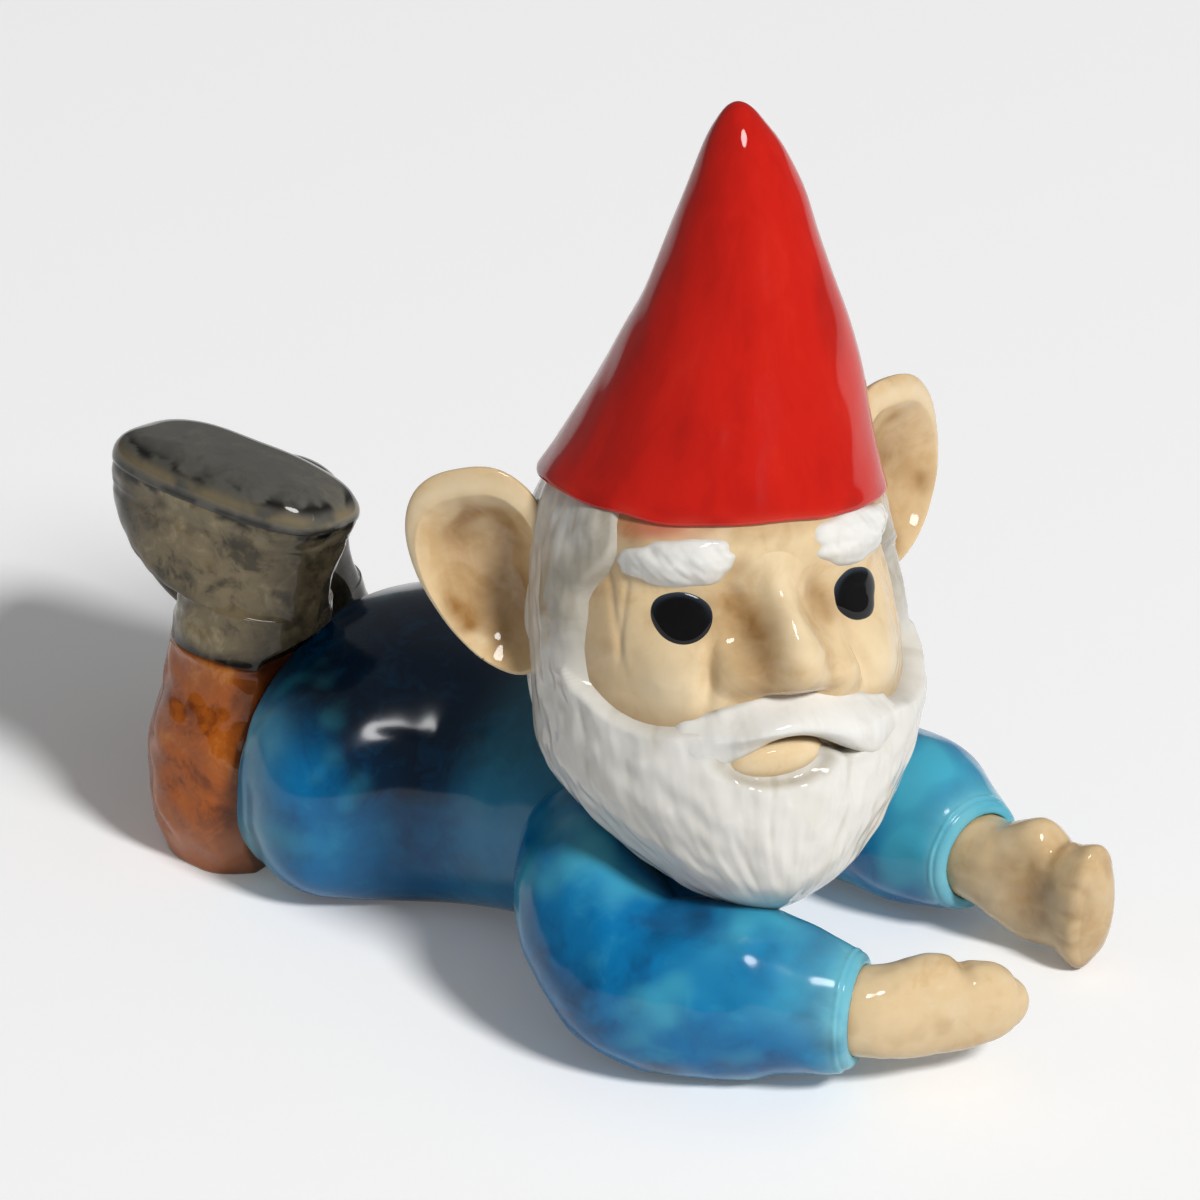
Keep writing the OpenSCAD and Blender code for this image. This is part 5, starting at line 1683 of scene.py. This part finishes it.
@dataclass
class Studio:
    """Pale floor, one soft key light and its glint, an even surround and the camera.

    Attributes:
        target: Point on the axis of view.
        away: Unit vector from the target to the camera.
        distance: Distance of the camera.
        field_w: Width of the view at the target.
        sensor: Width of the camera's sensor in its own millimetres.
        floor_half: Half the floor's breadth.
        floor_lit: Tone of the floor as it lights the figure.
        floor_seen: Tone of the floor to the eye and in reflections.
        floor_lift: Light that the seen floor adds of its own.
        fill: Strength of the even surround.
    """

    target: tuple[float, float, float] = (0.00518, 0.00029, 0.01604)
    away: tuple[float, float, float] = (-0.730, -0.511, 0.454)
    distance: float = 0.6
    field_w: float = 0.06667
    sensor: float = 36.0
    floor_half: float = 6.0
    floor_lit: Colour = srgb(234, 234, 234)
    floor_seen: Colour = srgb(255, 255, 255)
    floor_lift: float = 0.09
    fill: float = 0.185

    def aim(self, obj: bpy.types.Object, place: Array, at: Array) -> None:
        """Puts a camera or a lamp at a place, looking at a point."""
        way = unit(np.asarray(at) - place)
        right = unit(np.cross(way, UP))
        m = np.eye(4)
        m[:3, 0], m[:3, 1], m[:3, 2], m[:3, 3] = right, np.cross(right, way), -way, place
        obj.matrix_world = Matrix(m.tolist())

    def camera(self) -> None:
        """Makes the camera at the photograph's angle."""
        data = bpy.data.cameras.new("camera")
        data.sensor_width = self.sensor
        data.lens = self.sensor * self.distance / self.field_w
        data.clip_start, data.clip_end = 0.01, 50.0
        made = bpy.data.objects.new("camera", data)
        bpy.context.scene.collection.objects.link(made)
        target = np.array(self.target)
        self.aim(made, target + unit(self.away) * self.distance, target)
        bpy.context.scene.camera = made

    def hang(self, lamp: Lamp) -> None:
        """Hangs a lamp that looks at the figure."""
        data = bpy.data.lights.new(lamp.name, "AREA")
        data.shape, data.size, data.energy = "DISK", lamp.size, lamp.power
        made = bpy.data.objects.new(lamp.name, data)
        bpy.context.scene.collection.objects.link(made)
        made.visible_glossy, made.visible_diffuse = lamp.mirrored, not lamp.mirrored
        flat = turn("z", lamp.azimuth) @ unit([self.away[0], self.away[1], 0.0])
        e = math.radians(lamp.elevation)
        place = np.array(self.target) + lamp.distance * (flat * math.cos(e) + UP * math.sin(e))
        self.aim(made, place, np.array(self.target))

    def surround(self) -> None:
        """Lights the scene evenly and softly."""
        world = bpy.data.worlds.new("surround")
        world.use_nodes = True
        bpy.context.scene.world = world
        n = Nodes(world.node_tree)
        world.node_tree.nodes.clear()
        light = n.add("ShaderNodeBackground", {"Color": (1.0, 1.0, 1.0), "Strength": self.fill})
        out = n.add("ShaderNodeOutputWorld")
        world.node_tree.links.new(light.outputs[0], out.inputs[0])

    def floor(self) -> None:
        """Lays a plain floor, paler to the eye and in reflections than it lights the figure."""
        h = self.floor_half
        mesh = bpy.data.meshes.new("floor")
        mesh.from_pydata([(-h, -h, 0), (h, -h, 0), (h, h, 0), (-h, h, 0)], [], [(0, 1, 2, 3)])
        made = bpy.data.objects.new("floor", mesh)
        bpy.context.scene.collection.objects.link(made)
        paint = bpy.data.materials.new("pale_floor")
        paint.use_nodes = True
        n = Nodes(paint.node_tree)
        paint.node_tree.nodes.clear()
        path = n.add("ShaderNodeLightPath")
        seen = n.sums("MAXIMUM", path.outputs["Is Camera Ray"], path.outputs["Is Glossy Ray"])
        seen = n.sums("MAXIMUM", seen, path.outputs["Is Transmission Ray"])
        tone = n.blend(seen, self.floor_lit, self.floor_seen)
        matt = n.add("ShaderNodeBsdfDiffuse", {"Color": tone})
        lift = n.add("ShaderNodeEmission", {"Strength": n.sums("MULTIPLY", seen, self.floor_lift)})
        surface = n.add("ShaderNodeAddShader", {0: matt.outputs[0], 1: lift.outputs[0]})
        out = n.add("ShaderNodeOutputMaterial")
        paint.node_tree.links.new(surface.outputs[0], out.inputs[0])
        mesh.materials.append(paint)
        made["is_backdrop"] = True

    def build(self) -> None:
        """Sets up floor, light and camera."""
        bpy.context.scene.view_settings.view_transform = "Standard"
        self.floor()
        self.surround()
        for lamp in LAMPS:
            self.hang(lamp)
        self.camera()


def box_of(bounds: Iterable[Iterable[float]]) -> list[list[float]]:
    """A box as plain lists of numbers."""
    return [[round(float(v), 6) for v in corner] for corner in bounds]


def main() -> None:
    """Builds the figure piece by piece, then the studio."""
    logging.basicConfig(level=logging.INFO, format="%(name)s: %(message)s")
    solid_box = box_of(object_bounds())
    plan = Plan()
    groups = GlazeGroups()
    materials = {glaze.slot: glaze.material(groups) for glaze in FINISHES}
    assemblies = [Tunic(plan), *(Arm(plan, side) for side in Side), Leg(plan, Side.RIGHT, 6.0),
                  Leg(plan, Side.LEFT, 6.6), Head(plan), Hat(plan)]
    for assembly in assemblies:
        for piece in assembly.pieces():
            made = piece.place(materials, np.array(solid_box))
            LOG.info("%s: %d points", made.name, len(made.data.vertices))
    Studio().build()


if __name__ == "__main__":
    main()
